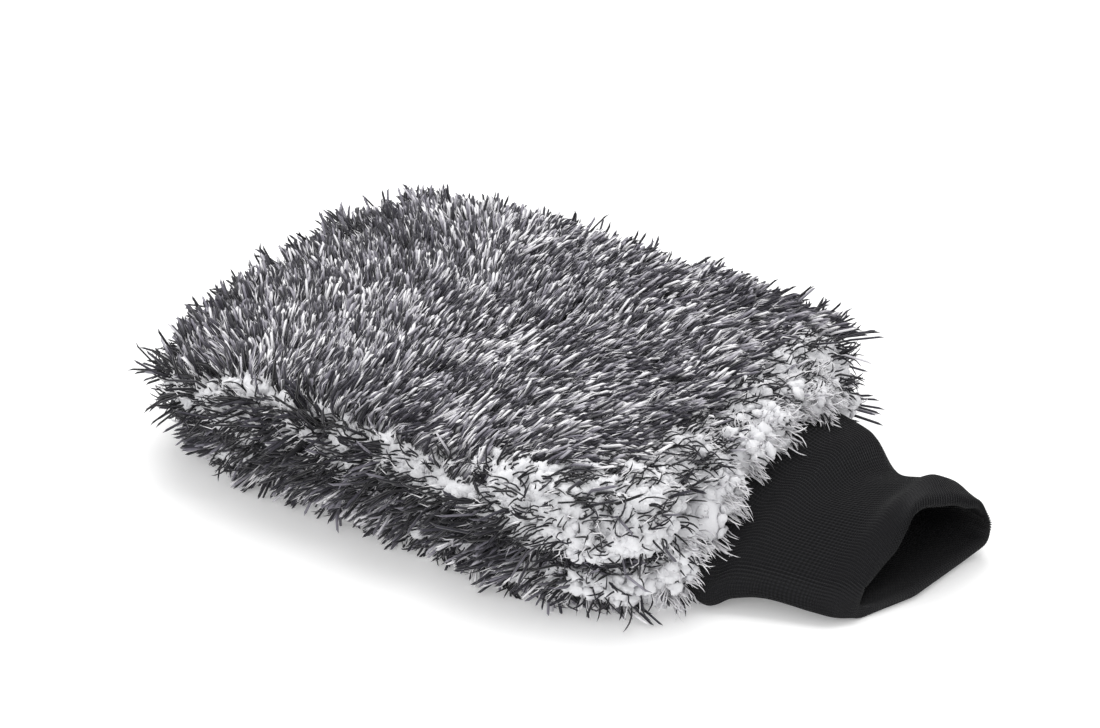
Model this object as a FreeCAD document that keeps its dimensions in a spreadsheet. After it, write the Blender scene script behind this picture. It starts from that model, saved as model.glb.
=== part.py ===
import FreeCAD, Part
import math
import os
import Sketcher

# A wash mitt: two plush panels sewn together on three sides, a padded lining bag inside them, and a folded
# rib-knit cuff on the open end. Millimetres. +X runs along the mitt towards the cuff and +Z is up. The origin
# is on the resting plane, under the middle of the whole object.

# ---------------------------------------------------------------------------------------------------------
# Driving dimensions. Each is one cell of the sheet.
# ---------------------------------------------------------------------------------------------------------
SIZES = {
    # the plush body, measured over the pile
    "mitt_length": 274.0,
    "mitt_width": 222.0,
    "mitt_height": 58.0,
    "mitt_corner": 47.0,
    # how deep each layer is at the sides, above and below
    "long_pile_side": 10.0,
    "long_pile_above": 8.0,
    "long_pile_below": 5.0,
    "undercoat_side": 7.0,
    "undercoat_above": 7.0,
    "undercoat_below": 4.0,
    "backing_thickness": 1.5,
    "foam_thickness": 6.0,
    "lining_thickness": 1.0,
    "seam_allowance": 9.0,
    # how round each layer's upper and lower rim is
    "long_pile_rim": 22.0,
    "undercoat_rim": 15.0,
    "backing_rim": 13.0,
    "foam_rim": 11.5,
    "lining_rim": 8.0,
    "pocket_rim": 7.0,
    # the knitted cuff
    "cuff_reach": 64.0,
    "cuff_seat_depth": 11.0,
    "cuff_root_width": 122.0,
    "cuff_root_height": 34.0,
    "cuff_root_corner": 6.0,
    "cuff_mouth_width": 82.0,
    "cuff_mouth_height": 36.0,
    "cuff_mouth_corner": 16.0,
    "cuff_wall": 3.2,
    "cuff_lip_round": 1.4,
    "cuff_floor_gap": 0.3,
    "cuff_skirt_depth": 10.5,
    # the flexing joint between body and cuff
    "throat_clearance": 0.8,
    "lift_angle": 35.0,
    "droop_angle": 20.0,
    "angle_margin": 1.5,
    "neck_overlap": 4.0,
    "joint_tape_thickness": 1.0,
    "joint_tape_width": 6.0,
    "throat_rim_setback": 7.0,
    # seams and threads
    "seam_tape_height": 3.0,
    "thread_width": 0.6,
    "thread_height": 0.4,
    "seam_stitch_length": 4.2,
    "seam_stitch_pitch": 6.0,
    "seam_stitch_inset": 3.0,
    "joint_stitch_pitch": 5.0,
    "joint_stitch_length": 3.6,
    "joint_stitch_angle": 40.0,
    "closing_stitch_pitch": 4.4,
    "closing_stitch_length": 3.2,
    "tack_count": 4.0,
    "tack_spacing": 22.0,
    "tack_length": 3.6,
    "tack_width": 1.4,
}

document = FreeCAD.newDocument("WashMitt")
sheet = document.addObject("Spreadsheet::Sheet", "Sizes")
for row, (alias, value) in enumerate(SIZES.items(), start=1):
    sheet.set(f"A{row}", alias)
    sheet.set(f"B{row}", str(value))
    sheet.setAlias(f"B{row}", alias)
document.recompute()


def size(alias):
    """The number now in the sheet under one alias."""
    return float(sheet.get(alias))


def cell(alias):
    """The expression that reads one alias of the sheet."""
    return f"Sizes.{alias}"


def total(*terms):
    """The expression that adds up several aliases."""
    return "(" + " + ".join(cell(term) for term in terms) + ")"


def evaluate(expression):
    """The value of an expression, for starting a sketch near its solution."""
    return float(sheet.evalExpression(expression))


# ---------------------------------------------------------------------------------------------------------
# Derived places, as expressions on the sheet
# ---------------------------------------------------------------------------------------------------------
PILE_BACK = f"(-({cell('mitt_length')} + {cell('cuff_reach')}) / 2)"
PILE_FRONT = f"(({cell('mitt_length')} - {cell('cuff_reach')}) / 2)"
CUFF_END = f"(({cell('mitt_length')} + {cell('cuff_reach')}) / 2)"

# The layers from the outside in, as they stand at the sides, above the hand and below it
INNER_LAYERS = ["backing_thickness", "foam_thickness", "lining_thickness"]
LAYERS_SIDE = ["long_pile_side", "undercoat_side", "backing_thickness", "seam_allowance", "lining_thickness"]
LAYERS_ABOVE = ["long_pile_above", "undercoat_above"] + INNER_LAYERS
LAYERS_BELOW = ["long_pile_below", "undercoat_below"] + INNER_LAYERS


def layer_bottom(depth):
    """Height of the underside of the form that lies inside the first `depth` layers."""
    return total(*LAYERS_BELOW[:depth]) if depth else "0"


def layer_top(depth):
    """Height of the upper side of the form that lies inside the first `depth` layers."""
    return f"({cell('mitt_height')} - {total(*LAYERS_ABOVE[:depth])})" if depth else cell("mitt_height")


def layer_inset(depth):
    """How far the form inside the first `depth` layers stands back from the tips of the pile at its sides."""
    return total(*LAYERS_SIDE[:depth]) if depth else "0"


SEAM_HEIGHT = f"(({layer_bottom(5)} + {layer_top(5)}) / 2)"
HINGE_X = f"({PILE_FRONT} - {cell('cuff_seat_depth')})"
CUFF_SPAN = f"({CUFF_END} - {HINGE_X})"
THROAT_RIM = f"({HINGE_X} - {cell('throat_rim_setback')})"
MOUTH_CENTRE_HEIGHT = f"({cell('cuff_floor_gap')} + {cell('cuff_mouth_height')} / 2)"
DRUM_RADIUS = f"({cell('cuff_root_height')} / 2)"
DRUM_HALF_LENGTH = f"({cell('cuff_root_width')} / 2)"
THROAT_RADIUS = f"({DRUM_RADIUS} + {cell('throat_clearance')})"
THROAT_HALF_LENGTH = f"({DRUM_HALF_LENGTH} + {cell('throat_clearance')})"
CUP_RADIUS = f"({THROAT_RADIUS} + {cell('lining_thickness')})"
CUP_HALF_LENGTH = f"({THROAT_HALF_LENGTH} + {cell('lining_thickness')})"
TAPE_RADIUS = f"({CUP_RADIUS} + {cell('joint_tape_thickness')})"
TAPE_HALF_LENGTH = f"({CUP_HALF_LENGTH} + {cell('joint_tape_thickness')})"
MARGIN_LENGTH = 40.0  # how far a cutting form runs past what it cuts


# ---------------------------------------------------------------------------------------------------------
# Helpers that make document objects
# ---------------------------------------------------------------------------------------------------------
def origin_plane(body, role):
    """The body's own origin plane with this role, such as XY_Plane."""
    return next(feature for feature in body.Origin.OriginFeatures if feature.Role == role)


def new_sketch(body, name, role, offset=None):
    """A sketch on one of the body's origin planes, moved off it along its normal by an expression."""
    sketch = body.newObject("Sketcher::SketchObject", name)
    sketch.AttachmentSupport = [(origin_plane(body, role), "")]
    sketch.MapMode = "FlatFace"
    if offset is not None:
        sketch.setExpression("AttachmentOffset.Base.z", offset)
    return sketch


def bind_constraint(sketch, constraint, name, expression):
    """Add a dimension to a sketch, name it and bind it to the sheet."""
    index = sketch.addConstraint(constraint)
    sketch.renameConstraint(index, name)
    sketch.setExpression(f"Constraints.{name}", expression)


def rounded_rectangle(sketch, low_x, high_x, low_y, high_y, corner):
    """Draw a rectangle with four equal round corners, bound to five expressions."""
    x0, x1, y0, y1, r = (evaluate(value) for value in (low_x, high_x, low_y, high_y, corner))
    up = FreeCAD.Vector(0, 0, 1)

    def line(ax, ay, bx, by):
        return Part.LineSegment(FreeCAD.Vector(ax, ay, 0), FreeCAD.Vector(bx, by, 0))

    def arc(cx, cy, quarter):
        circle = Part.Circle(FreeCAD.Vector(cx, cy, 0), up, r)
        return Part.ArcOfCircle(circle, quarter * math.pi / 2, (quarter + 1) * math.pi / 2)

    outline = [
        line(x0 + r, y0, x1 - r, y0),
        arc(x1 - r, y0 + r, 3),
        line(x1, y0 + r, x1, y1 - r),
        arc(x1 - r, y1 - r, 0),
        line(x1 - r, y1, x0 + r, y1),
        arc(x0 + r, y1 - r, 1),
        line(x0, y1 - r, x0, y0 + r),
        arc(x0 + r, y0 + r, 2),
    ]
    sketch.addGeometry(outline, False)
    count = len(outline)
    for index in range(count):
        sketch.addConstraint(Sketcher.Constraint("Tangent", index, 2, (index + 1) % count, 1))
    for index in (0, 4):
        sketch.addConstraint(Sketcher.Constraint("Horizontal", index))
    for index in (2, 6):
        sketch.addConstraint(Sketcher.Constraint("Vertical", index))
    for index in (3, 5, 7):
        sketch.addConstraint(Sketcher.Constraint("Equal", 1, index))
    bind_constraint(sketch, Sketcher.Constraint("Radius", 1, r), "corner", corner)
    bind_constraint(sketch, Sketcher.Constraint("DistanceX", 6, 1, x0), "low_x", low_x)
    bind_constraint(sketch, Sketcher.Constraint("DistanceX", 2, 1, x1), "high_x", high_x)
    bind_constraint(sketch, Sketcher.Constraint("DistanceY", 0, 1, y0), "low_y", low_y)
    bind_constraint(sketch, Sketcher.Constraint("DistanceY", 4, 1, y1), "high_y", high_y)


def level_edges(shape):
    """Names of the edges that lie level, which are a padded form's upper and lower rims."""
    names = []
    for index, edge in enumerate(shape.Edges, start=1):
        if edge.BoundBox.ZLength < 1e-6:
            names.append(f"Edge{index}")
    return names


def rounded_brick(name, depth, rim):
    """The form inside the first `depth` layers: a padded rounded rectangle with its rims rounded."""
    inset = layer_inset(depth)
    bottom = layer_bottom(depth)
    top = layer_top(depth)
    half_width = f"({cell('mitt_width')} / 2 - {inset})"
    body = document.addObject("PartDesign::Body", name)
    sketch = new_sketch(body, f"{name}Plan", "XY_Plane", bottom)
    rounded_rectangle(sketch, f"({PILE_BACK} + {inset})", f"({PILE_FRONT} - {inset})",
                      f"(-{half_width})", half_width, f"({cell('mitt_corner')} - {inset})")
    pad = body.newObject("PartDesign::Pad", f"{name}Pad")
    pad.Profile = sketch
    pad.setExpression("Length", f"{top} - {bottom}")
    document.recompute()
    fillet = body.newObject("PartDesign::Fillet", f"{name}Rims")
    fillet.Base = (pad, level_edges(pad.Shape))
    # the side keeps an upright band as high as the seam tape, for the tape and its tacks to lie against
    fillet.setExpression("Radius", f"min({cell(rim)}; ({top} - {bottom} - {cell('seam_tape_height')}) / 2)")
    document.recompute()
    return body


def box(name, low, high):
    """A box between two corners, each given as three expressions."""
    block = document.addObject("Part::Box", name)
    for axis, side, start, end in zip("xyz", ("Length", "Width", "Height"), low, high):
        block.setExpression(f"Placement.Base.{axis}", start)
        block.setExpression(side, f"{end} - {start}")
    return block


def drum(name, radius, half_length):
    """A cylinder lying across the mitt, centred on the cuff's hinge line."""
    cylinder = document.addObject("Part::Cylinder", name)
    cylinder.Placement = FreeCAD.Placement(FreeCAD.Vector(), FreeCAD.Rotation(FreeCAD.Vector(1, 0, 0), -90))
    cylinder.setExpression("Radius", radius)
    cylinder.setExpression("Height", f"2 * {half_length}")
    cylinder.setExpression("Placement.Base.x", HINGE_X)
    cylinder.setExpression("Placement.Base.y", f"-{half_length}")
    cylinder.setExpression("Placement.Base.z", SEAM_HEIGHT)
    return cylinder


def round_ends(name, cylinder, radius):
    """Round both circular rims of a drum."""
    document.recompute()
    fillet = document.addObject("Part::Fillet", name)
    fillet.Base = cylinder
    value = evaluate(radius)
    rims = [index for index, edge in enumerate(cylinder.Shape.Edges, start=1)
            if edge.Curve.TypeId == "Part::GeomCircle"]
    fillet.Edges = [(index, value, value) for index in rims]
    return fillet


def cut(name, base, *tools):
    """What is left of one object after others are taken from it."""
    result = document.addObject("Part::Cut", name)
    result.Base = base
    result.Tool = tools[0] if len(tools) == 1 else fuse(f"{name}Tools", *tools)
    return result


def fuse(name, *shapes):
    """Several objects as one."""
    result = document.addObject("Part::MultiFuse", name)
    result.Shapes = list(shapes)
    return result


def common(name, first, second):
    """What two objects share."""
    result = document.addObject("Part::Common", name)
    result.Base = first
    result.Tool = second
    return result


NODES = []


def node(item, label):
    """Name an object as one sub-part of the mitt."""
    item.Label = label
    NODES.append(item)
    return item


def solid_group(name, label, solids):
    """A sub-part made of many equal loose solids, such as a row of stitches."""
    feature = document.addObject("Part::Feature", name)
    feature.Shape = Part.makeCompound(solids)
    feature.Placement = FreeCAD.Placement()
    return node(feature, label)


# ---------------------------------------------------------------------------------------------------------
# Forms that the layers are cut from
# ---------------------------------------------------------------------------------------------------------
pile_form = rounded_brick("PileForm", 0, "long_pile_rim")
undercoat_form = rounded_brick("UndercoatForm", 1, "undercoat_rim")
backing_form = rounded_brick("BackingForm", 2, "backing_rim")
foam_form = rounded_brick("FoamForm", 3, "foam_rim")
bag_form = rounded_brick("BagForm", 4, "lining_rim")
pocket_form = rounded_brick("PocketForm", 5, "pocket_rim")

far_x = f"({CUFF_END} + {MARGIN_LENGTH})"
near_x = f"({PILE_BACK} - {MARGIN_LENGTH})"
far_y = f"({cell('mitt_width')} / 2 + {MARGIN_LENGTH})"
near_y = f"(-{far_y})"
high_z = f"({cell('mitt_height')} + {MARGIN_LENGTH})"
low_z = f"(-{MARGIN_LENGTH})"


def slab(name, bottom, top):
    """Everything between two heights."""
    return box(name, (near_x, near_y, bottom), (far_x, far_y, top))


upper_half = slab("UpperHalf", SEAM_HEIGHT, high_z)
lower_half = slab("LowerHalf", low_z, SEAM_HEIGHT)

# The throat: a round-backed hollow about the hinge line, in which the cuff's root turns
throat_drum = drum("ThroatDrum", THROAT_RADIUS, THROAT_HALF_LENGTH)
cup_drum = drum("CupDrum", CUP_RADIUS, CUP_HALF_LENGTH)
tape_drum = drum("TapeDrum", TAPE_RADIUS, TAPE_HALF_LENGTH)


def wedge(name, half_length):
    """The space that the cuff sweeps in front of the throat, between its lifted and its drooped place."""
    root_drop = f"({SEAM_HEIGHT} - {DRUM_RADIUS} - {cell('cuff_floor_gap')})"
    mouth_rise = f"({MOUTH_CENTRE_HEIGHT} + {cell('cuff_mouth_height')} / 2 - {SEAM_HEIGHT} - {DRUM_RADIUS})"
    under_slope = f"max(0 deg; atan({root_drop} / {CUFF_SPAN}))"
    over_slope = f"max(0 deg; atan({mouth_rise} / {CUFF_SPAN}))"
    lift = f"(({cell('lift_angle')} + {cell('angle_margin')}) * 1 deg + {over_slope})"
    droop = f"(({cell('droop_angle')} + {cell('angle_margin')}) * 1 deg + {under_slope})"
    reach = f"({CUFF_SPAN} / cos({lift}))"
    radius = THROAT_RADIUS
    corners = [
        (f"{HINGE_X} - {radius} * sin({lift})", f"{SEAM_HEIGHT} + {radius} * cos({lift})"),
        (f"{HINGE_X} - {radius} * sin({lift}) + {reach} * cos({lift})",
         f"{SEAM_HEIGHT} + {radius} * cos({lift}) + {reach} * sin({lift})"),
        (f"{HINGE_X} - {radius} * sin({droop}) + {reach} * cos({droop})",
         f"{SEAM_HEIGHT} - {radius} * cos({droop}) - {reach} * sin({droop})"),
        (f"{HINGE_X} - {radius} * sin({droop})", f"{SEAM_HEIGHT} - {radius} * cos({droop})"),
    ]
    body = document.addObject("PartDesign::Body", name)
    sketch = new_sketch(body, f"{name}Side", "XZ_Plane")
    points = [FreeCAD.Vector(evaluate(x), evaluate(z), 0) for x, z in corners]
    sketch.addGeometry([Part.LineSegment(points[i], points[(i + 1) % 4]) for i in range(4)], False)
    for index in range(4):
        sketch.addConstraint(Sketcher.Constraint("Coincident", index, 2, (index + 1) % 4, 1))
    for index, (x, z) in enumerate(corners):
        bind_constraint(sketch, Sketcher.Constraint("DistanceX", index, 1, points[index].x), f"x_{index}", x)
        bind_constraint(sketch, Sketcher.Constraint("DistanceY", index, 1, points[index].y), f"z_{index}", z)
    pad = body.newObject("PartDesign::Pad", f"{name}Pad")
    pad.Profile = sketch
    pad.Midplane = True
    pad.setExpression("Length", f"2 * {half_length}")
    return body


sweep_wedge = wedge("SweepWedge", THROAT_HALF_LENGTH)
mouth_form = fuse("MouthForm", throat_drum, sweep_wedge)

# The neck joins the flat bag to the round throat
neck_back = f"({HINGE_X} - 2 * {CUP_RADIUS})"
neck_front = f"({HINGE_X} - {cell('neck_overlap')})"
neck_form = box("NeckForm", (neck_back, f"(-{CUP_HALF_LENGTH})", layer_bottom(4)),
                (neck_front, CUP_HALF_LENGTH, layer_top(4)))
neck_hollow = box("NeckHollow", (neck_back, f"(-{THROAT_HALF_LENGTH})", layer_bottom(5)),
                  (neck_front, THROAT_HALF_LENGTH, layer_top(5)))
lining_form = fuse("LiningForm", bag_form, neck_form, cup_drum)
lining_clip = box("LiningClip", (near_x, near_y, low_z), (THROAT_RIM, far_y, high_z))
lining_behind_rim = common("LiningBehindRim", lining_form, lining_clip)
hand_space = fuse("HandSpace", pocket_form, neck_hollow, mouth_form)
tape_block = box("TapeBlock", (f"({THROAT_RIM} - {cell('joint_tape_width')})", near_y, low_z),
                 (THROAT_RIM, far_y, high_z))
tape_form = common("TapeForm", tape_drum, tape_block)

# ---------------------------------------------------------------------------------------------------------
# The two plush panels: long strands, curly undercoat and knitted backing
# ---------------------------------------------------------------------------------------------------------
pile_shell = cut("PileShell", pile_form, undercoat_form, lining_behind_rim, tape_form, mouth_form)
undercoat_shell = cut("UndercoatShell", undercoat_form, backing_form, lining_form, tape_form, mouth_form)
backing_shell = cut("BackingShell", backing_form, foam_form, lining_form, tape_form, mouth_form)
panel_layers = {"long_pile": pile_shell, "undercoat": undercoat_shell, "backing": backing_shell}
for side, half in (("top", upper_half), ("bottom", lower_half)):
    for layer, shell in panel_layers.items():
        node(common(f"{side.title()}{shell.Name}", shell, half), f"{side}_{layer}")

# ---------------------------------------------------------------------------------------------------------
# Padding and lining
# ---------------------------------------------------------------------------------------------------------
foam_space = cut("FoamSpace", foam_form, lining_form, tape_form, mouth_form)
top_foam_slab = slab("TopFoamSlab", layer_top(4), high_z)
bottom_foam_slab = slab("BottomFoamSlab", low_z, layer_bottom(4))
node(common("TopFoam", foam_space, top_foam_slab), "top_foam_pad")
node(common("BottomFoam", foam_space, bottom_foam_slab), "bottom_foam_pad")

lining_shell = cut("LiningShell", lining_behind_rim, hand_space)
node(common("TopLining", lining_shell, upper_half), "top_lining")
node(common("BottomLining", lining_shell, lower_half), "bottom_lining")

# ---------------------------------------------------------------------------------------------------------
# Seams
# ---------------------------------------------------------------------------------------------------------
seam_top = f"({SEAM_HEIGHT} + {cell('seam_tape_height')} / 2)"
seam_bottom = f"({SEAM_HEIGHT} - {cell('seam_tape_height')} / 2)"
seam_slab = slab("SeamSlab", seam_bottom, seam_top)
node(common("SeamTape", foam_space, seam_slab), "perimeter_seam_tape")
node(cut("JointTape", tape_form, lining_form, mouth_form), "cuff_joint_tape")


def stitch(length, width, height):
    """One thread float: a small bar lying along X with its foot at height zero."""
    return Part.makeBox(length, width, height, FreeCAD.Vector(-length / 2, -width / 2, 0))


def seam_path():
    """The closed line of the perimeter seam, at the height of the tape's upper face."""
    inset = evaluate(layer_inset(3)) + size("seam_stitch_inset")
    x0 = evaluate(PILE_BACK) + inset
    x1 = evaluate(PILE_FRONT) - inset
    y1 = size("mitt_width") / 2 - inset
    corner = size("mitt_corner") - inset
    height = evaluate(seam_top)
    outline = Part.makePlane(x1 - x0, 2 * y1, FreeCAD.Vector(x0, -y1, height))
    solid = outline.extrude(FreeCAD.Vector(0, 0, 1))
    uprights = [edge for edge in solid.Edges if edge.BoundBox.ZLength > 0.5]
    rounded = solid.makeFillet(corner, uprights)
    floor = min(rounded.Faces, key=lambda face: face.BoundBox.ZMax)
    return floor.OuterWire


def perimeter_stitches():
    """Thread floats all round the seam tape, leaving out the throat."""
    path = seam_path()
    count = int(path.Length / size("seam_stitch_pitch"))
    points = path.discretize(Number=count + 1)
    clear_half = evaluate(TAPE_HALF_LENGTH) + size("seam_stitch_length")
    bar = stitch(size("seam_stitch_length"), size("thread_width"), size("thread_height"))
    solids = []
    for start, end in zip(points[:-1], points[1:]):
        middle = (start + end) / 2
        if middle.x > 0 and abs(middle.y) < clear_half:
            continue
        turn = math.degrees(math.atan2(end.y - start.y, end.x - start.x))
        placed = bar.copy()
        placed.Placement = FreeCAD.Placement(middle, FreeCAD.Rotation(FreeCAD.Vector(0, 0, 1), turn))
        solids.append(placed)
    return solids


def finger_tacks():
    """Bar tacks that hold the finger end of the lining to the seam tape."""
    height = evaluate(seam_top)
    back = evaluate(PILE_BACK) + evaluate(layer_inset(4)) - size("tack_length")
    count = int(size("tack_count"))
    solids = []
    for index in range(count):
        y = (index - (count - 1) / 2) * size("tack_spacing")
        corner = FreeCAD.Vector(back, y - size("tack_width") / 2, height)
        solids.append(Part.makeBox(size("tack_length"), size("tack_width"), size("thread_height"), corner))
    return solids


def joint_stitches():
    """Thread floats along the throat, above and below, just inside the lining."""
    radius = size("thread_height") / 2
    orbit = evaluate(THROAT_RADIUS) - radius - 0.01
    half = evaluate(THROAT_HALF_LENGTH)
    count = int(2 * half / size("joint_stitch_pitch"))
    length = size("joint_stitch_length")
    angle = math.radians(size("joint_stitch_angle"))
    across = FreeCAD.Vector(0, 1, 0)
    solids = []
    for sign in (1, -1):
        x = evaluate(HINGE_X) - orbit * math.sin(angle)
        z = evaluate(SEAM_HEIGHT) + sign * orbit * math.cos(angle)
        for index in range(count):
            y = (index - (count - 1) / 2) * size("joint_stitch_pitch") - length / 2
            solids.append(Part.makeCylinder(radius, length, FreeCAD.Vector(x, y, z), across))
    return solids


def closing_stitches():
    """Thread floats down the flat far side of the cuff, where its tube is closed."""
    start = FreeCAD.Vector(evaluate(HINGE_X), size("cuff_root_width") / 2, evaluate(SEAM_HEIGHT))
    end = FreeCAD.Vector(evaluate(CUFF_END), size("cuff_mouth_width") / 2, evaluate(MOUTH_CENTRE_HEIGHT))
    along = (end - start).normalize()
    outward = FreeCAD.Vector(start.y - end.y, end.x - start.x, 0).normalize()
    sideways = outward.cross(along)
    span = (end - start).Length
    pitch = size("closing_stitch_pitch")
    first = size("cuff_seat_depth") + pitch
    count = int((span - first - pitch) / pitch)
    bar = stitch(size("closing_stitch_length"), size("thread_width"), size("thread_height"))
    solids = []
    for index in range(count):
        placed = bar.copy()
        middle = start + along * (first + index * pitch)
        placed.Placement = FreeCAD.Placement(middle, FreeCAD.Rotation(along, sideways, outward))
        solids.append(placed)
    return solids


# ---------------------------------------------------------------------------------------------------------
# The folded rib cuff: a tube from a wide root to a narrower mouth, with a round root that turns in the throat
# ---------------------------------------------------------------------------------------------------------
def cuff_tube(name, wall):
    """A loft from the root section to the mouth section, both drawn in by `wall`."""
    body = document.addObject("PartDesign::Body", name)
    sections = []
    places = (
        ("Root", HINGE_X, DRUM_HALF_LENGTH, SEAM_HEIGHT, DRUM_RADIUS, cell("cuff_root_corner")),
        ("Mouth", CUFF_END, f"({cell('cuff_mouth_width')} / 2)", MOUTH_CENTRE_HEIGHT,
         f"({cell('cuff_mouth_height')} / 2)", cell("cuff_mouth_corner")),
    )
    for place, x, half_width, height, half_height, corner in places:
        sketch = new_sketch(body, f"{name}{place}", "YZ_Plane", x)
        rounded_rectangle(sketch, f"(-{half_width} + {wall})", f"({half_width} - {wall})",
                          f"({height} - {half_height} + {wall})", f"({height} + {half_height} - {wall})",
                          f"({corner} - {wall})")
        sections.append(sketch)
    loft = body.newObject("PartDesign::AdditiveLoft", f"{name}Loft")
    loft.Profile = sections[0]
    loft.Sections = [sections[1]]
    loft.Ruled = True
    return body


outer_tube = cuff_tube("CuffOuter", "0")
inner_tube = cuff_tube("CuffInner", cell("cuff_wall"))
root_drum = drum("RootDrum", DRUM_RADIUS, DRUM_HALF_LENGTH)
root_hollow = drum("RootHollow", f"({DRUM_RADIUS} - {cell('cuff_wall')})",
                   f"({DRUM_HALF_LENGTH} - {cell('cuff_wall')})")
outer_drum = round_ends("RootDrumRounded", root_drum, cell("cuff_root_corner"))
inner_drum = round_ends("RootHollowRounded", root_hollow,
                        f"({cell('cuff_root_corner')} - {cell('cuff_wall')})")
skirt_clip = box("SkirtClip", (f"({HINGE_X} - {cell('cuff_skirt_depth')})", near_y, low_z),
                 (HINGE_X, far_y, high_z))
skirt = cut("CuffSkirt", common("CuffSkirtForm", outer_drum, skirt_clip), inner_drum)
sleeve = cut("CuffSleeve", outer_tube, inner_tube)
cuff = fuse("CuffWhole", skirt, sleeve)
document.recompute()


def lip_edges(shape):
    """Numbers of the edges that lie in the plane of the cuff's mouth."""
    end = evaluate(CUFF_END)
    return [index for index, edge in enumerate(shape.Edges, start=1)
            if abs(edge.BoundBox.XMin - end) < 1e-4 and edge.BoundBox.XLength < 1e-4]


folded_cuff = document.addObject("Part::Fillet", "FoldedCuff")
folded_cuff.Base = cuff
lip_round = size("cuff_lip_round")
folded_cuff.Edges = [(index, lip_round, lip_round) for index in lip_edges(cuff.Shape)]
node(folded_cuff, "rib_cuff")

solid_group("PerimeterStitches", "perimeter_seam_stitches", perimeter_stitches())
solid_group("FingerTacks", "lining_finger_tacks", finger_tacks())
solid_group("JointStitches", "cuff_joint_stitches", joint_stitches())
solid_group("ClosingStitches", "cuff_closing_stitches", closing_stitches())

# ---------------------------------------------------------------------------------------------------------
# Checks and export
# ---------------------------------------------------------------------------------------------------------
document.recompute()
for item in document.Objects:
    if "Invalid" in item.State or "Error" in item.State:
        raise RuntimeError(f"{item.Name} did not recompute: {item.State}")
os.makedirs("parts", exist_ok=True)
for item in NODES:
    if item.Shape.isNull() or not item.Shape.isValid() or not item.Shape.Solids:
        raise RuntimeError(f"{item.Label} has no valid solid")
for item in NODES:
    item.Shape.exportStep(f"parts/{item.Label}.step")
    print(f"{item.Label}: {len(item.Shape.Solids)} solid(s), {item.Shape.Volume / 1000:.2f} cm3")
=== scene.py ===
"""Looks of a plush wash mitt: two long-pile microfibre panels over foam, with a folded rib-knit cuff.

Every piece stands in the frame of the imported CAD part, in metres, with its place in its mesh.
"""
from __future__ import annotations

import logging
import math
from dataclasses import dataclass, field
from enum import Enum

import bpy
import numpy as np
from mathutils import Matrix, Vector


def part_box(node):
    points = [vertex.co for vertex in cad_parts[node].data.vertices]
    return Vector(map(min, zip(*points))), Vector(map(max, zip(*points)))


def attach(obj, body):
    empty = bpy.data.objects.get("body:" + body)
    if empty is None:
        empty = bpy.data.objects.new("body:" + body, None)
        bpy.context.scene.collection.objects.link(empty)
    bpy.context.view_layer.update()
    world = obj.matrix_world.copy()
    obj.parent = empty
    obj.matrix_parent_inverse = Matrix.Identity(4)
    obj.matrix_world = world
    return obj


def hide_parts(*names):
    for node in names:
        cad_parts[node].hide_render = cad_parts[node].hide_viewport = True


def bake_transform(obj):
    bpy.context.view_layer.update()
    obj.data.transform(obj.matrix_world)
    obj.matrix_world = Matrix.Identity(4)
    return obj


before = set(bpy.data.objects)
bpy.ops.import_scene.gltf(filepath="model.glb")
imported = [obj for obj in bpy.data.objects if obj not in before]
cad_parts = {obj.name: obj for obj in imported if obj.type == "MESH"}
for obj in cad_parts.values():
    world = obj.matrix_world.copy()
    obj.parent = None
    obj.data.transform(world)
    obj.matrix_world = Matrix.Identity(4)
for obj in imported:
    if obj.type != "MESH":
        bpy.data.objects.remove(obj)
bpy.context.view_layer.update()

log = logging.getLogger("wash_mitt")
MM = 0.001
BAKE_MAP = "OFBake"
CLOTH_MAP = "Cloth"
CLOTH_HALF = (150 * MM, 122 * MM)  # half the length and half the width of a panel's flat cloth


class Side(Enum):
    """Which of the two panels a piece belongs to, as the sign of its height over the seam."""

    TOP = 1
    BOTTOM = -1

    @property
    def word(self) -> str:
        """The name of the side, as the CAD nodes spell it."""
        return self.name.lower()


class Body(Enum):
    """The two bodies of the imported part."""

    MITT = "mitt"
    CUFF = "cuff"


# ---------------------------------------------------------------------------------------------------------
# Numbers and arrays
# ---------------------------------------------------------------------------------------------------------
def linear(hex_colour: str) -> tuple[float, float, float, float]:
    """Turn an sRGB hex colour into linear RGBA.

    Args:
        hex_colour: Six hex digits after a hash, such as "#2b2a30".

    Returns:
        The four linear values, with an alpha of 1.
    """
    values = [int(hex_colour[start:start + 2], 16) / 255 for start in (1, 3, 5)]
    curve = [value / 12.92 if value <= 0.04045 else ((value + 0.055) / 1.055) ** 2.4 for value in values]
    return (curve[0], curve[1], curve[2], 1.0)


def ease(low: float, high: float, values: np.ndarray) -> np.ndarray:
    """Rise smoothly from 0 at `low` to 1 at `high`: t squared times three less two t."""
    t = np.clip((values - low) / (high - low), 0.0, 1.0)
    return t * t * (3.0 - 2.0 * t)


def unit(vectors: np.ndarray) -> np.ndarray:
    """The vectors at length 1, along their last axis."""
    return vectors / np.maximum(np.linalg.norm(vectors, axis=-1, keepdims=True), 1e-12)


def side_axes(direction: np.ndarray) -> tuple[np.ndarray, np.ndarray]:
    """Two unit vectors square to each unit direction and to each other."""
    upright, level = np.array([[0.0, 0.0, 1.0]]), np.array([[1.0, 0.0, 0.0]])
    first = unit(np.cross(direction, np.where(np.abs(direction[:, 2:]) < 0.8, upright, level)))
    return first, np.cross(direction, first)


def settle(heights: np.ndarray, reach: float) -> np.ndarray:
    """Sink heights under `reach` towards the ground, not through: reach times e to (height / reach - 1)."""
    return np.where(heights < reach, reach * np.exp((heights - reach) / reach), heights)


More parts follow.
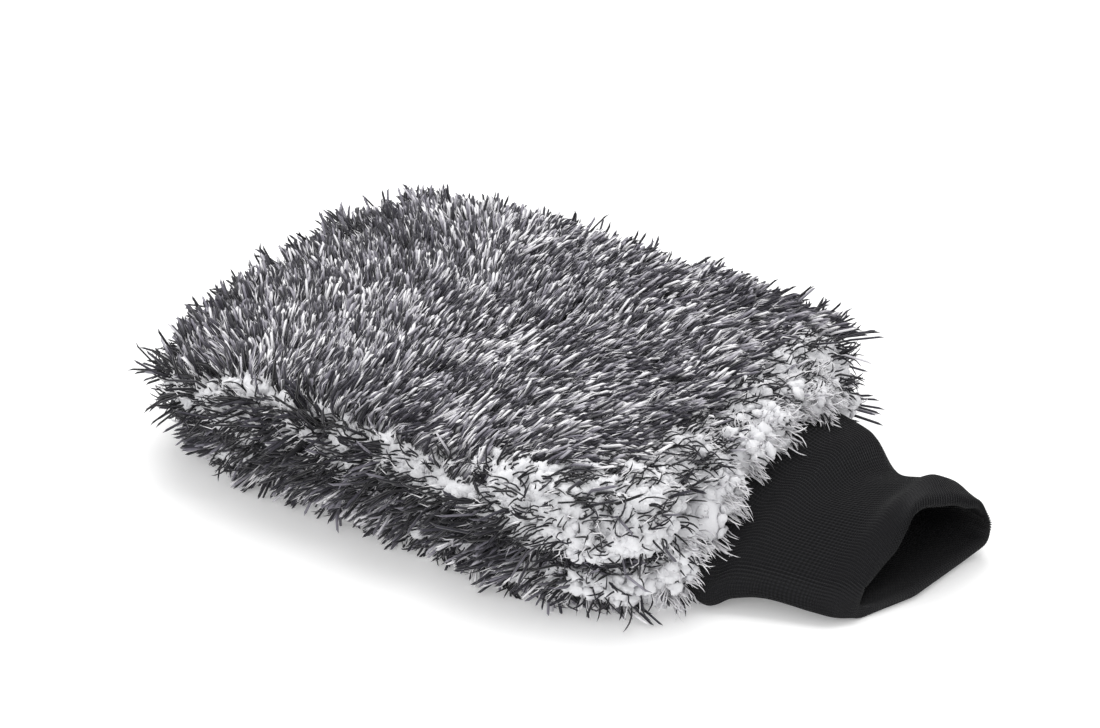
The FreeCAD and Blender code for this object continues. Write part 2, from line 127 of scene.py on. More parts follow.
def cell_places(count: int, shapes: tuple[np.ndarray, ...]) -> np.ndarray:
    """Bake-map places for many copies of one shape: a square of cells, with a margin inside each.

    Args:
        count: How many copies there are.
        shapes: Places on the unit square for the face corners of one copy, in the order of its face groups.

    Returns:
        A place for each face corner, each group for all the copies in turn.
    """
    across = math.ceil(math.sqrt(count))
    index = np.arange(count)
    cell = np.stack([index % across, index // across], axis=-1)[:, None, None]
    return np.concatenate([((cell + 0.1 + 0.8 * places[None]) / across).reshape(-1, 2) for places in shapes])


def cloth_place(s: np.ndarray, t: np.ndarray, side: Side) -> np.ndarray:
    """Places on the flat cloth from the two square coordinates, with each side on its own stretch of it."""
    return np.stack([s * CLOTH_HALF[0], t * CLOTH_HALF[1]], axis=-1) + (1.0 + 0.5 * side.value)


def lattice_random(cells: np.ndarray, salt: int) -> np.ndarray:
    """A fixed random number from 0 to 1 for each whole-numbered lattice cell.

    Args:
        cells: Whole cell numbers, with the two lattice axes last.
        salt: Picks one of many independent sets of numbers.

    Returns:
        One number for each cell, by mixing the bits of its two indices.
    """
    mixed = cells[..., 0].astype(np.int64) * 374761393 + cells[..., 1].astype(np.int64) * 668265263
    mixed = (mixed + salt * 1274126177) & 0x7FFFFFFF
    mixed = ((mixed ^ (mixed >> 13)) * 1103515245) & 0x7FFFFFFF
    mixed = ((mixed ^ (mixed >> 11)) * 69069) & 0x7FFFFFFF
    return (mixed ^ (mixed >> 15)) / 0x7FFFFFFF


def smooth_noise(place: np.ndarray, pitch: float, salt: int) -> np.ndarray:
    """Value noise from -1 to 1: random lattice values, joined by the smooth step in both directions.

    Args:
        place: Points on a flat cloth, with the two axes last.
        pitch: Distance from one lattice value to the next.
        salt: Picks the set of random values.

    Returns:
        One value for each point.
    """
    scaled = place / pitch
    base = np.floor(scaled)
    part = scaled - base
    part = part * part * (3.0 - 2.0 * part)
    corners = [lattice_random(base + offset, salt) for offset in ((0, 0), (1, 0), (0, 1), (1, 1))]
    low = corners[0] + (corners[1] - corners[0]) * part[..., 0]
    high = corners[2] + (corners[3] - corners[2]) * part[..., 0]
    return 2.0 * (low + (high - low) * part[..., 1]) - 1.0


def nearest_cell(place: np.ndarray, pitch: float, salt: int) -> tuple[np.ndarray, np.ndarray]:
    """Find the nearest jittered lattice point, which makes soft irregular cells.

    Args:
        place: Points on a flat cloth, with the two axes last.
        pitch: Distance from one lattice point to the next.
        salt: Picks the set of jitters.

    Returns:
        The distance to the nearest lattice point, and that point's two lattice numbers.
    """
    base = np.floor(place / pitch)
    best = np.full(place.shape[:-1], 1e9)
    owner = np.zeros(place.shape)
    for offset in [(i, j) for i in (-1, 0, 1) for j in (-1, 0, 1)]:
        cell = base + offset
        jitter = np.stack([lattice_random(cell, salt), lattice_random(cell, salt + 1)], axis=-1)
        away = np.linalg.norm(place - (cell + 0.1 + 0.8 * jitter) * pitch, axis=-1)
        closer = away < best
        best = np.where(closer, away, best)
        owner = np.where(closer[..., None], cell, owner)
    return best, owner


def resample(points: np.ndarray, count: int, axis: int) -> np.ndarray:
    """Refine a grid of points along one axis with Catmull-Rom curves, ends kept.

    Args:
        points: A grid of points.
        count: How many points the axis gets.
        axis: The axis to refine.

    Returns:
        The grid with `count` points along that axis.
    """
    source = np.moveaxis(points, axis, 0)
    ends = [2 * source[:1] - source[1:2], source, 2 * source[-1:] - source[-2:-1]]
    padded = np.concatenate(ends)
    place = np.linspace(0, len(source) - 1, count)
    start = np.minimum(place.astype(int), len(source) - 2)
    t = (place - start).reshape((-1,) + (1,) * (source.ndim - 1))
    p0, p1, p2, p3 = (padded[start + shift] for shift in range(4))
    curve = p1 + 0.5 * t * (p2 - p0 + t * (2 * p0 - 5 * p1 + 4 * p2 - p3 + t * (3 * (p1 - p2) + p3 - p0)))
    return np.moveaxis(curve, 0, axis)


def grid_normals(points: np.ndarray, wrapped: bool = False) -> np.ndarray:
    """Unit normals of a grid of points: the first axis's step crossed with the second's.

    Args:
        points: A grid of points, shaped (rows, columns, 3).
        wrapped: Whether the rows close into a ring.

    Returns:
        One unit normal for each point.
    """
    if wrapped:
        along_rows = np.roll(points, -1, axis=0) - np.roll(points, 1, axis=0)
    else:
        along_rows = np.gradient(points, axis=0)
    return unit(np.cross(along_rows, np.gradient(points, axis=1)))


def grid_quads(rows: int, columns: int, wrap_rows: bool = False, wrap_columns: bool = False) -> np.ndarray:
    """Corner numbers of the quads of a grid whose points are numbered row by row.

    Args:
        rows: Points along the first axis.
        columns: Points along the second axis.
        wrap_rows: Whether the last row joins the first.
        wrap_columns: Whether the last column joins the first.

    Returns:
        An array of four corners for each quad, which face along the grid normals.
    """
    row = np.arange(rows if wrap_rows else rows - 1)[:, None]
    column = np.arange(columns if wrap_columns else columns - 1)[None, :]
    next_row, next_column = (row + 1) % rows, (column + 1) % columns
    corners = [row * columns + column, next_row * columns + column,
               next_row * columns + next_column, row * columns + next_column]
    return np.stack(corners, axis=-1).reshape(-1, 4)


def wrapped_share(quads: np.ndarray, rows: int, columns: int) -> np.ndarray:
    """How far across and up a wrapped grid each corner of its quads is.

    Args:
        quads: The grid's quads, whose rows and columns both wrap.
        rows: How many rows it has.
        columns: How many columns it has.

    Returns:
        Shares from 0 to 1, across and up, with the last quads' far side at 1 instead of back at 0.
    """
    row, column = quads // columns, quads % columns
    column = np.where((column == 0) & (column.max(1, keepdims=True) == columns - 1), columns, column)
    row = np.where((row == 0) & (row.max(1, keepdims=True) == rows - 1), rows, row)
    return np.stack([column / columns, row / rows], axis=-1).reshape(-1, 2)


def border_loop(rows: int, columns: int) -> np.ndarray:
    """Point numbers all round the border of a grid, in order."""
    low, left = np.arange(columns), np.arange(rows) * columns
    high, right = low[::-1] + (rows - 1) * columns, left + columns - 1
    return np.concatenate([low[:-1], right[:-1], high[:-1], left[::-1][:-1]])


def make_piece(name: str, points: np.ndarray, faces: list[np.ndarray],
               values: dict[str, np.ndarray] | None = None,
               maps: dict[str, np.ndarray] | None = None) -> bpy.types.Object:
    """Put arrays into a new mesh object at the origin.

    Args:
        name: The piece's name.
        points: Vertex places, shaped (count, 3), in metres.
        faces: Arrays of vertex numbers, each shaped (count, corners per face).
        values: Numbers for each vertex, by attribute name.
        maps: UV places for each face corner, by map name, in the order of `faces`.

    Returns:
        The linked object, smooth shaded.
    """
    mesh = bpy.data.meshes.new(name)
    corners = np.concatenate([face.ravel() for face in faces]).astype(np.int32)
    sizes = np.concatenate([np.full(len(face), face.shape[1]) for face in faces])
    starts = np.concatenate([[0], np.cumsum(sizes)[:-1]]).astype(np.int32)
    mesh.vertices.add(len(points))
    mesh.vertices.foreach_set("co", points.astype(np.float32).ravel())
    mesh.loops.add(len(corners))
    mesh.loops.foreach_set("vertex_index", corners)
    mesh.polygons.add(len(starts))
    mesh.polygons.foreach_set("loop_start", starts)
    mesh.polygons.foreach_set("use_smooth", np.ones(len(starts), bool))
    mesh.update(calc_edges=True)
    for key, numbers in (values or {}).items():
        mesh.attributes.new(key, "FLOAT", "POINT").data.foreach_set("value", numbers.astype(np.float32))
    for key, places in (maps or {}).items():
        mesh.uv_layers.new(name=key).data.foreach_set("uv", places.astype(np.float32).ravel())
    piece = bpy.data.objects.new(name, mesh)
    bpy.context.scene.collection.objects.link(piece)
    return piece


def dress(piece: bpy.types.Object, material: bpy.types.Material, body: Body) -> bpy.types.Object:
    """Give a piece its material and the body it rides on.

    Args:
        piece: The piece.
        material: Its material.
        body: The body it rides on.

    Returns:
        The same piece.
    """
    piece.data.materials.clear()
    piece.data.materials.append(material)
    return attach(piece, body.value)


# ---------------------------------------------------------------------------------------------------------
# Finishes
# ---------------------------------------------------------------------------------------------------------
def add_node(tree: bpy.types.NodeTree, kind: str, inputs: dict | None = None,
             **settings: object) -> bpy.types.Node:
    """Add a shader node with its settings, values and links.

    Args:
        tree: The node tree it goes into.
        kind: The node's type name.
        inputs: A value, or a socket to link from, for each input by name or number.
        settings: The node's own properties.

    Returns:
        The new node.
    """
    node = tree.nodes.new(kind)
    for key, value in settings.items():
        setattr(node, key, value)
    for key, value in (inputs or {}).items():
        if isinstance(value, bpy.types.NodeSocket):
            tree.links.new(value, node.inputs[key])
        else:
            node.inputs[key].default_value = value
    return node


def new_material(name: str) -> tuple[bpy.types.Material, bpy.types.NodeTree]:
    """An empty node material and its tree.

    Args:
        name: The material's name.

    Returns:
        The material and its empty node tree.
    """
    material = bpy.data.materials.new(name)
    material.use_nodes = True
    material.node_tree.nodes.clear()
    return material, material.node_tree


def colour_ramp(tree: bpy.types.NodeTree, factor: bpy.types.NodeSocket,
                stops: dict[float, str]) -> bpy.types.NodeSocket:
    """Turn a number into a colour.

    Args:
        tree: The node tree.
        factor: The socket that gives the number.
        stops: The sRGB hex colour at each place from 0 to 1.

    Returns:
        The colour socket.
    """
    ramp = add_node(tree, "ShaderNodeValToRGB", {"Fac": factor})
    elements = ramp.color_ramp.elements
    while len(elements) < len(stops):
        elements.new(0.5)
    for element, (place, colour) in zip(elements, sorted(stops.items())):
        element.position = place
        element.color = linear(colour)
    return ramp.outputs["Color"]


def number_node(tree: bpy.types.NodeTree, operation: str, *values: object) -> bpy.types.NodeSocket:
    """The result of one step of arithmetic on numbers or sockets, in the step's own order."""
    return add_node(tree, "ShaderNodeMath", dict(enumerate(values)), operation=operation).outputs[0]


def attribute(tree: bpy.types.NodeTree, name: str) -> bpy.types.NodeSocket:
    """The number that each point of a piece holds under this name."""
    return add_node(tree, "ShaderNodeAttribute", attribute_name=name).outputs["Fac"]


def noise(tree: bpy.types.NodeTree, pitch: float, detail: float,
          distortion: float = 0.0) -> bpy.types.NodeSocket:
    """Noise from 0 to 1 on Object coordinates, with its lumps about `pitch` metres apart."""
    place = add_node(tree, "ShaderNodeTexCoord").outputs["Object"]
    texture = add_node(tree, "ShaderNodeTexNoise",
                       {"Vector": place, "Scale": 1 / pitch, "Detail": detail, "Distortion": distortion})
    return texture.outputs["Fac"]


def bump(tree: bpy.types.NodeTree, height: bpy.types.NodeSocket, strength: float, depth: float,
         invert: bool = False) -> bpy.types.NodeSocket:
    """Normals bent by a height from 0 to 1, which stands for `depth` metres."""
    inputs = {"Height": height, "Strength": strength, "Distance": depth}
    return add_node(tree, "ShaderNodeBump", inputs, invert=invert).outputs[0]


def principled(tree: bpy.types.NodeTree, colour: bpy.types.NodeSocket, roughness: float, specular: float,
               **others: object) -> None:
    """Join a Principled surface to the material's output.

    Args:
        tree: The node tree.
        colour: The base colour.
        roughness: The roughness.
        specular: The specular level.
        others: Further inputs, with underscores for the spaces in their names.
    """
    inputs = {key.replace("_", " "): value for key, value in others.items()}
    inputs.update({"Base Color": colour, "Roughness": roughness, "Specular IOR Level": specular})
    shader = add_node(tree, "ShaderNodeBsdfPrincipled", inputs)
    add_node(tree, "ShaderNodeOutputMaterial", {"Surface": shader.outputs[0]})


@dataclass(frozen=True)
class MicrofibrePile:
    """Split polyester and polyamide microfibre, cut in long loose strands: dull, fine, with a soft sheen.

    Some strands are dyed charcoal and some left grey or white; painted shade darkens each towards its root
    and a painted highlight lightens its tip.
    """

    name: str = "microfibre_long_pile"
    stops: tuple[tuple[float, str], ...] = ((0.0, "#0a090e"), (0.35, "#35333d"), (0.6, "#84818c"),
                                            (0.8, "#d0ced4"), (1.0, "#f9f8fa"))
    filament_pitch_mm: float = 1.2
    root_shade: float = 0.45
    roughness: float = 0.72
    sheen: float = 0.2

    def material(self) -> bpy.types.Material:
        """Colour from each strand's own tone, which holds its painted tip highlight, darker at its root by
        painted shade, with a fine mottle along it.
        """
        material, tree = new_material(self.name)
        # twisted filaments show as specks along a strand
        mottle = noise(tree, self.filament_pitch_mm * MM, 1.0)
        spread = number_node(tree, "MULTIPLY_ADD", mottle, 0.16, -0.08)
        mixed = number_node(tree, "ADD", attribute(tree, "tone"), spread)
        colour = colour_ramp(tree, mixed, dict(self.stops))
        # painted shade: each strand darkens towards its root, down to root_shade at the root
        shade = add_node(tree, "ShaderNodeMapRange", {"Value": attribute(tree, "along"), "From Max": 0.7,
                                                      "To Min": self.root_shade, "To Max": 1.0})
        shaded = add_node(tree, "ShaderNodeVectorMath", {0: colour, 3: shade.outputs[0]}, operation="SCALE")
        principled(tree, shaded.outputs[0], self.roughness, 0.3, IOR=1.5, Sheen_Weight=self.sheen,
                   Sheen_Roughness=0.5)
        return material


@dataclass(frozen=True)
class CurlyUndercoat:
    """Undyed crimped microfibre, brushed up into small puffs: matt, white, softly shadowed between them."""

    name: str = "microfibre_undercoat"
    puff_colour: str = "#e6e6e9"
    # painted shade colour for the gaps between puffs and for their undersides
    gap_shade_colour: str = "#6a6871"
    fibre_pitch_mm: float = 0.9
    depth_mm: float = 0.5
    roughness: float = 0.9

    def material(self) -> bpy.types.Material:
        """White puffs with painted shade that greys them in the gaps and on their undersides, with a fibre
        grain in colour and bump.
        """
        material, tree = new_material(self.name)
        grain = noise(tree, self.fibre_pitch_mm * MM, 3.0, 1.5)
        spread = number_node(tree, "MULTIPLY_ADD", grain, 0.5, -0.25)
        mixed = number_node(tree, "ADD", attribute(tree, "puff"), spread)
        # painted shade: the colour turns to gap_shade_colour where the puff value is low, in the gaps and
        # under the balls
        colour = colour_ramp(tree, mixed, {0.05: self.gap_shade_colour, 0.55: self.puff_colour})
        principled(tree, colour, self.roughness, 0.2, Normal=bump(tree, grain, 0.5, self.depth_mm * MM),
                   Sheen_Weight=0.4, Sheen_Roughness=0.6)
        return material


@dataclass(frozen=True)
class KnitCloth:
    """A weft or warp knit: rows of small loops, seen as a fine grid of bumps with painted shade in the gaps
    between.
    """

    name: str
    yarn_colour: str
    # painted shade colour for the recesses between the loops
    gap_shade_colour: str
    loop_width_mm: float
    loop_length_mm: float
    fuzz_pitch_mm: float = 0.8
    roughness: float = 0.85
    sheen: float = 0.2
    depth_mm: float = 0.25

    def material(self) -> bpy.types.Material:
        """Loops from two crossed waves on the cloth's own flat map, which is in metres."""
        material, tree = new_material(self.name)
        flat = add_node(tree, "ShaderNodeUVMap", uv_map=CLOTH_MAP)
        scale = (2 * math.pi / (self.loop_width_mm * MM), 2 * math.pi / (self.loop_length_mm * MM), 1.0)
        turned = add_node(tree, "ShaderNodeVectorMath", {0: flat.outputs[0], 1: scale}, operation="MULTIPLY")
        axes = add_node(tree, "ShaderNodeSeparateXYZ", {0: turned.outputs[0]})
        across = number_node(tree, "COSINE", axes.outputs[0])
        # each loop's two legs lean apart, so its rows are waves that bend with the wave across it
        lean = number_node(tree, "MULTIPLY_ADD", across, 0.9, axes.outputs[1])
        loop = number_node(tree, "ADD", across, number_node(tree, "SINE", lean))
        height = add_node(tree, "ShaderNodeMapRange", {"Value": loop, "From Min": -2.0, "From Max": 2.0})
        fuzz = noise(tree, self.fuzz_pitch_mm * MM, 2.0)
        mixed = number_node(tree, "MULTIPLY_ADD", fuzz, 0.3, height.outputs[0])
        # painted shade: the colour darkens to gap_shade_colour in the recesses between the loops
        colour = colour_ramp(tree, mixed, {0.25: self.gap_shade_colour, 0.85: self.yarn_colour})
        principled(tree, colour, self.roughness, 0.25, Normal=bump(tree, mixed, 0.8, self.depth_mm * MM),
                   Sheen_Weight=self.sheen, Sheen_Roughness=0.5)
        return material


@dataclass(frozen=True)
class GrainedFinish:
    """A matt solid with a fine grain, such as open-cell foam, spun thread or woven tape."""

    name: str
    light_colour: str
    dark_colour: str
    grain_mm: float
    roughness: float = 0.8
    depth_mm: float = 0.2
    stretch: tuple[float, float, float] = (1.0, 1.0, 1.0)

    def material(self) -> bpy.types.Material:
        """Cells or yarn turns from a cell pattern of the grain's size, in colour and in bump."""
        material, tree = new_material(self.name)
        place = add_node(tree, "ShaderNodeTexCoord").outputs["Object"]
        turned = add_node(tree, "ShaderNodeMapping", {"Vector": place, "Scale": self.stretch})
        scale = 1 / (self.grain_mm * MM)
        cells = add_node(tree, "ShaderNodeTexVoronoi", {"Vector": turned.outputs[0], "Scale": scale})
        height = cells.outputs["Distance"]
        colour = colour_ramp(tree, height, {0.1: self.light_colour, 0.75: self.dark_colour})
        normal = bump(tree, height, 0.7, self.depth_mm * MM, invert=True)
        principled(tree, colour, self.roughness, 0.3, Normal=normal)
        return material


# ---------------------------------------------------------------------------------------------------------
# The padded form that every layer of the mitt follows
# ---------------------------------------------------------------------------------------------------------
@dataclass
class LayerForm:
    """One layer of the mitt as two panels sewn along a seam: a pillow with a rounded plan.

    A panel is a square grid (s, t) from -1 to 1 whose border is the seam. Out from the centre the panel runs
    level, turns over the rim on a superellipse and drops down its side to the seam, which is drawn in.
    """

    low: Vector
    high: Vector
    seam_height: float
    rim: float = 20 * MM
    groove: float = 0.0
    groove_height: float = 7 * MM
    crown: float = 0.0
    plan_power: float = 6.0
    rim_power: float = 2.3
    level_share: float = 0.74
    throat_half_width: float = 62 * MM
    throat_rise: float = 17.8 * MM
    tuck: float = 0.0

    @classmethod
    def around(cls, layer: str, **sizes: float) -> LayerForm:
        """The form that fills a layer's two CAD nodes.

        Args:
            layer: The layer's name without its side.
            sizes: Fields to set besides the box.

        Returns:
            The form, with its seam at the height of the perimeter seam tape.
        """
        top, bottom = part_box(f"top_{layer}"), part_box(f"bottom_{layer}")
        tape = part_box("perimeter_seam_tape")
        low = Vector(map(min, top[0], bottom[0]))
        high = Vector(map(max, top[1], bottom[1]))
        return cls(low, high, (tape[0].z + tape[1].z) / 2, **sizes)

    def points(self, side: Side, s: np.ndarray, t: np.ndarray, inset: float = 0.0) -> np.ndarray:
        """Places on the panel.

        Args:
            side: The top or the bottom panel.
            s: Place along the mitt on the square, -1 at the fingers and 1 at the cuff.
            t: Place across it.
            inset: How far inside the form's surface the places lie.

        Returns:
            An array of points, one for each pair of s and t.
        """
        centre = (self.low + self.high) / 2
        half_length = (self.high.x - self.low.x) / 2 - inset
        half_width = (self.high.y - self.low.y) / 2 - inset
        rise = self.high.z - self.seam_height if side is Side.TOP else self.seam_height - self.low.z
        rise -= inset
        out = np.maximum(np.maximum(np.abs(s), np.abs(t)), 1e-6)
        edge_s, edge_t = s / out, t / out
        plan = np.abs(edge_s) ** self.plan_power + np.abs(edge_t) ** self.plan_power
        round_off = plan ** (-1 / self.plan_power)
        round_off = 1 + (round_off - 1) * ease(0.2, self.level_share, out)
        # over the cuff the panel's edge is held up, so its side stops short of the seam
        throat = ease(8 * MM, -2 * MM, np.abs(edge_t * half_width) - self.throat_half_width)
        throat = throat * (edge_s > 0.999)
        start = math.asin(min(1.0, self.throat_rise / rise) ** (self.rim_power / 2)) * throat
        share = np.clip((1 - out) / (1 - self.level_share), 0, 1)
        angle = start + (math.pi / 2 - start) * share
        height = rise * np.sin(angle) ** (2 / self.rim_power)
        rim = min(self.rim, rise)
        drawn_in = rim * (1 - np.cos(angle) ** (2 / self.rim_power))
        drawn_in = drawn_in + self.groove * np.exp(-(height / self.groove_height) ** 2)
        if side is Side.BOTTOM:
            drawn_in = drawn_in + self.tuck * ease(0.0, 0.25 * rise, height) * (1 - edge_s) / 2
        shrink = np.minimum(out / self.level_share, 1)
        x = centre.x + (half_length - drawn_in) * edge_s * shrink * round_off
        y = centre.y + (half_width - drawn_in) * edge_t * shrink * round_off
        height = height + self.crown * (1 - out ** 2) * share
        return np.stack([x, y, self.seam_height + side.value * height], axis=-1)

    def flat_size(self) -> tuple[float, float]:
        """Width and length of the cloth that one panel was cut from: level part, rim and side."""
        side = 1.35 * self.rim + (self.high.z - self.low.z) / 2 - self.rim
        return (self.high.y - self.low.y - 2 * self.rim + 2 * side,
                self.high.x - self.low.x - 2 * self.rim + 2 * side)


def square_grid(rows: int, columns: int) -> tuple[np.ndarray, np.ndarray]:
    """The two coordinates of an even grid from -1 to 1, shaped (rows, columns)."""
    s, t = np.meshgrid(np.linspace(-1, 1, rows), np.linspace(-1, 1, columns), indexing="ij")
    return s, t


def shell_piece(name: str, outer: np.ndarray, inner: np.ndarray, flip: bool,
                values: dict[str, np.ndarray] | None = None,
                flat: tuple[float, float] = (1.0, 1.0)) -> bpy.types.Object:
    """A closed shell from an outer and an inner grid of the same shape, joined all round the border.

    Args:
        name: The piece's name.
        outer: The outer grid of points, shaped (rows, columns, 3).
        inner: The inner grid.
        flip: Whether the outer grid's normals point inwards.
        values: Numbers for each point of the outer grid, also used on the inner one.
        flat: Width and length of the cloth laid flat, for its flat map.

    Returns:
        The piece, with a flat cloth map in metres and a bake map.
    """
    rows, columns = outer.shape[:2]
    count = rows * columns
    quads = grid_quads(rows, columns)
    loop = border_loop(rows, columns)
    following = np.roll(loop, -1)
    rim = np.stack([loop, following, following + count, loop + count], axis=-1)
    outside, inside = quads, quads[:, ::-1] + count
    if flip:
        outside, inside, rim = outside[:, ::-1], inside[:, ::-1], rim[:, ::-1]
    s, t = square_grid(rows, columns)
    place = np.stack([t, s], axis=-1).reshape(-1, 2) / 2 + 0.5
    place = np.concatenate([place, place])
    faces = [outside, inside, rim]
    corner = np.concatenate([face.ravel() for face in faces])
    # the outside fills the left half of the bake map, and the inside and the rim the right half
    half = (corner >= count)[:, None] * np.array([[0.5, 0.0]])
    bake = place[corner] * np.array([[0.485, 0.97]]) + 0.0075 + half
    rim_start = outside.size + inside.size
    bake[rim_start:, 0] = 0.496 + 0.008 * (corner[rim_start:] >= count)
    cloth = place[corner] * np.array(flat)
    doubled = {key: np.tile(numbers.ravel(), 2) for key, numbers in (values or {}).items()}
    points = np.concatenate([outer.reshape(-1, 3), inner.reshape(-1, 3)])
    return make_piece(name, points, faces, doubled, {BAKE_MAP: bake, CLOTH_MAP: cloth})


@dataclass
class PaddedBody:
    """The stuffed shape under the pile, swelled by a cloth simulation with its seams held."""

    form: LayerForm
    swell: float = 1.2 * MM
    rows: int = 58
    columns: int = 48
    pressure: float = 3.0
    frames: int = 20
    cap: float = 3 * MM
    shrink: float = -0.05
    stiffness: float = 12.0
    bending: float = 0.6
    lump_height: float = 1.6 * MM
    lump_pitch: float = 46 * MM

    def panel(self, side: Side, s: np.ndarray, t: np.ndarray, inset: float) -> np.ndarray:
        """The panel's form with soft lumps: value noise on the flat cloth, faded out at the seam.

        Args:
            side: The top or the bottom panel.
            s: Place along the mitt on the square.
            t: Place across it.
            inset: How far inside the form the places lie.

        Returns:
            An array of points.
        """
        points = self.form.points(side, s, t, inset)
        flat = np.stack([s * 0.15, t * 0.12], axis=-1) + (5.0 + side.value)
        lump = smooth_noise(flat, self.lump_pitch, 11) * self.lump_height
        points[..., 2] += side.value * lump * ease(0.0, 0.25, 1 - np.maximum(np.abs(s), np.abs(t)))
        return points

    def swelled(self, side: Side) -> np.ndarray:
        """Blow one sewn panel up from a slightly smaller shape.

        Args:
            side: The top or the bottom panel.
        """
        s, t = square_grid(self.rows, self.columns)
        start = self.panel(side, s, t, self.swell)
        quads = grid_quads(self.rows, self.columns)
        piece = make_piece(f"simulated_{side.word}", start.reshape(-1, 3),
                           [quads if side is Side.TOP else quads[:, ::-1]])
        held = piece.vertex_groups.new(name="seam")
        held.add(border_loop(self.rows, self.columns).tolist(), 1.0, "REPLACE")
        cloth = piece.modifiers.new("cloth", "CLOTH")
        cloth.settings.vertex_group_mass = "seam"
        cloth.settings.use_pressure = True
        cloth.settings.uniform_pressure_force = self.pressure
        cloth.settings.effector_weights.gravity = 0.0
        cloth.settings.tension_stiffness = self.stiffness
        cloth.settings.compression_stiffness = self.stiffness
        cloth.settings.bending_stiffness = self.bending
        cloth.settings.shrink_min = self.shrink
        scene = bpy.context.scene
        for number in range(1, self.frames + 1):
            scene.frame_set(number)
        graph = bpy.context.evaluated_depsgraph_get()
        result = piece.evaluated_get(graph).to_mesh()
        blown = np.empty(start.size, np.float32)
        result.vertices.foreach_get("co", blown)
        scene.frame_set(1)
        bpy.data.objects.remove(piece)
        moved = blown.reshape(start.shape).astype(float) - start
        far = np.linalg.norm(moved, axis=-1, keepdims=True)
        log.info("%s panel swelled by %.1f mm on average, %.1f at most",
                 side.word, far.mean() / MM, far.max() / MM)
        return start + moved * np.minimum(1, self.cap / np.maximum(far, 1e-9))


# ---------------------------------------------------------------------------------------------------------
# Strands
# ---------------------------------------------------------------------------------------------------------
@dataclass
class Strands:
    """A batch of tapered strands, each a three-sided prism along a curve from root over a bend to tip."""

    root: np.ndarray
    middle: np.ndarray
    tip: np.ndarray
    width: np.ndarray
    tone: np.ndarray
    # painted highlight: how much lighter each strand's tip is coloured
    tip_highlight: np.ndarray
    stations: tuple[float, ...]
    girths: tuple[float, ...]
    floor: float = 2.2 * MM
    ceiling: float = 60 * MM
    headroom: float = 9 * MM

    def take(self, chosen: np.ndarray) -> Strands:
        """The same batch with only the chosen strands."""
        return Strands(self.root[chosen], self.middle[chosen], self.tip[chosen], self.width[chosen],
                       self.tone[chosen], self.tip_highlight[chosen], self.stations, self.girths, self.floor)

    def piece(self, name: str) -> bpy.types.Object:
        """Mesh every strand: rings of three points on a quadratic curve, a point at the tip, a closed root.

        Args:
            name: The piece's name.

        Returns:
            The piece, with attributes tone and along, and a bake map with one cell for each strand.
        """
        count, rings = len(self.root), len(self.stations)
        t = np.array(self.stations)[None, :, None]
        root, middle, tip = (place[:, None, :] for place in (self.root, self.middle, self.tip))
        curve = (1 - t) ** 2 * root + 2 * t * (1 - t) * middle + t ** 2 * tip
        first, second = side_axes(unit(self.tip - self.root))
        # the tone, many times over, turns each prism by its own amount
        angle = 2 * math.pi * np.arange(3) / 3 + self.tone[:, None] * 40.0
        spoke = np.cos(angle)[..., None] * first[:, None] + np.sin(angle)[..., None] * second[:, None]
        girth = (self.width / 2)[:, None, None, None] * np.array(self.girths)[None, :, None, None]
        ring_points = curve[:, :, None, :] + spoke[:, None] * girth
        points = np.concatenate([ring_points.reshape(count, rings * 3, 3), self.tip[:, None]], axis=1)
        # strands that meet the ground lie down on it, and the highest ones bend over in the same way
        points[..., 2] = settle(points[..., 2], self.floor)
        over = np.maximum(points[..., 2] - self.ceiling, 0)
        points[..., 2] -= over - self.headroom * (1 - np.exp(-over / self.headroom))
        per_strand = rings * 3 + 1
        base = (np.arange(count) * per_strand)[:, None, None]
        ring = np.arange(rings - 1)[:, None] * 3
        corner = np.arange(3)[None, :]
        after = (corner + 1) % 3
        sides = [ring + corner, ring + after, ring + 3 + after, ring + 3 + corner]
        quads = np.stack(sides, axis=-1).reshape(-1, 4)
        last = (rings - 1) * 3
        caps = np.stack([last + corner[0], last + after[0], np.full(3, rings * 3)], axis=-1)
        caps = np.concatenate([caps, [[2, 1, 0]]])
        faces = [(base + quads).reshape(-1, 4), (base + caps).reshape(-1, 3)]
        up = np.append(np.repeat(self.stations, 3), 1.0)
        # the tone attribute takes in the painted tip highlight, strongest at the tip
        values = {"tone": np.clip(self.tone[:, None] + self.tip_highlight[:, None] * up ** 2, 0, 1).ravel(),
                  "along": np.tile(up, count)}
        return make_piece(name, points.reshape(-1, 3), faces, values, {BAKE_MAP: self.cells(quads, caps)})

    def cells(self, quads: np.ndarray, caps: np.ndarray) -> np.ndarray:
        """Bake-map places: strands fill a square of cells, sides run across a cell and the strand up it.

        Args:
            quads: Corner numbers of one strand's quads.
            caps: Corner numbers of one strand's tip triangles, then of its root.

        Returns:
            A place for each face corner, all quads first.
        """
        rings = len(self.stations)
        up = np.append(np.repeat(self.stations, 3), 1.0)
        side = np.tile(np.arange(3), rings)
        quad_side = side[quads[:, 0]][:, None] + np.array([[0, 1, 1, 0]])
        quad_place = np.stack([quad_side / 3, up[quads]], axis=-1)
        cap_side = np.array([[0, 1, 0.5], [1, 2, 1.5], [2, 3, 2.5], [0, 3, 1.5]]) / 3
        cap_up = np.concatenate([up[caps[:3]], [[0.0, 0.0, 0.12]]])
        cap_place = np.stack([cap_side, cap_up], axis=-1)
        return cell_places(len(self.root), (quad_place, cap_place))


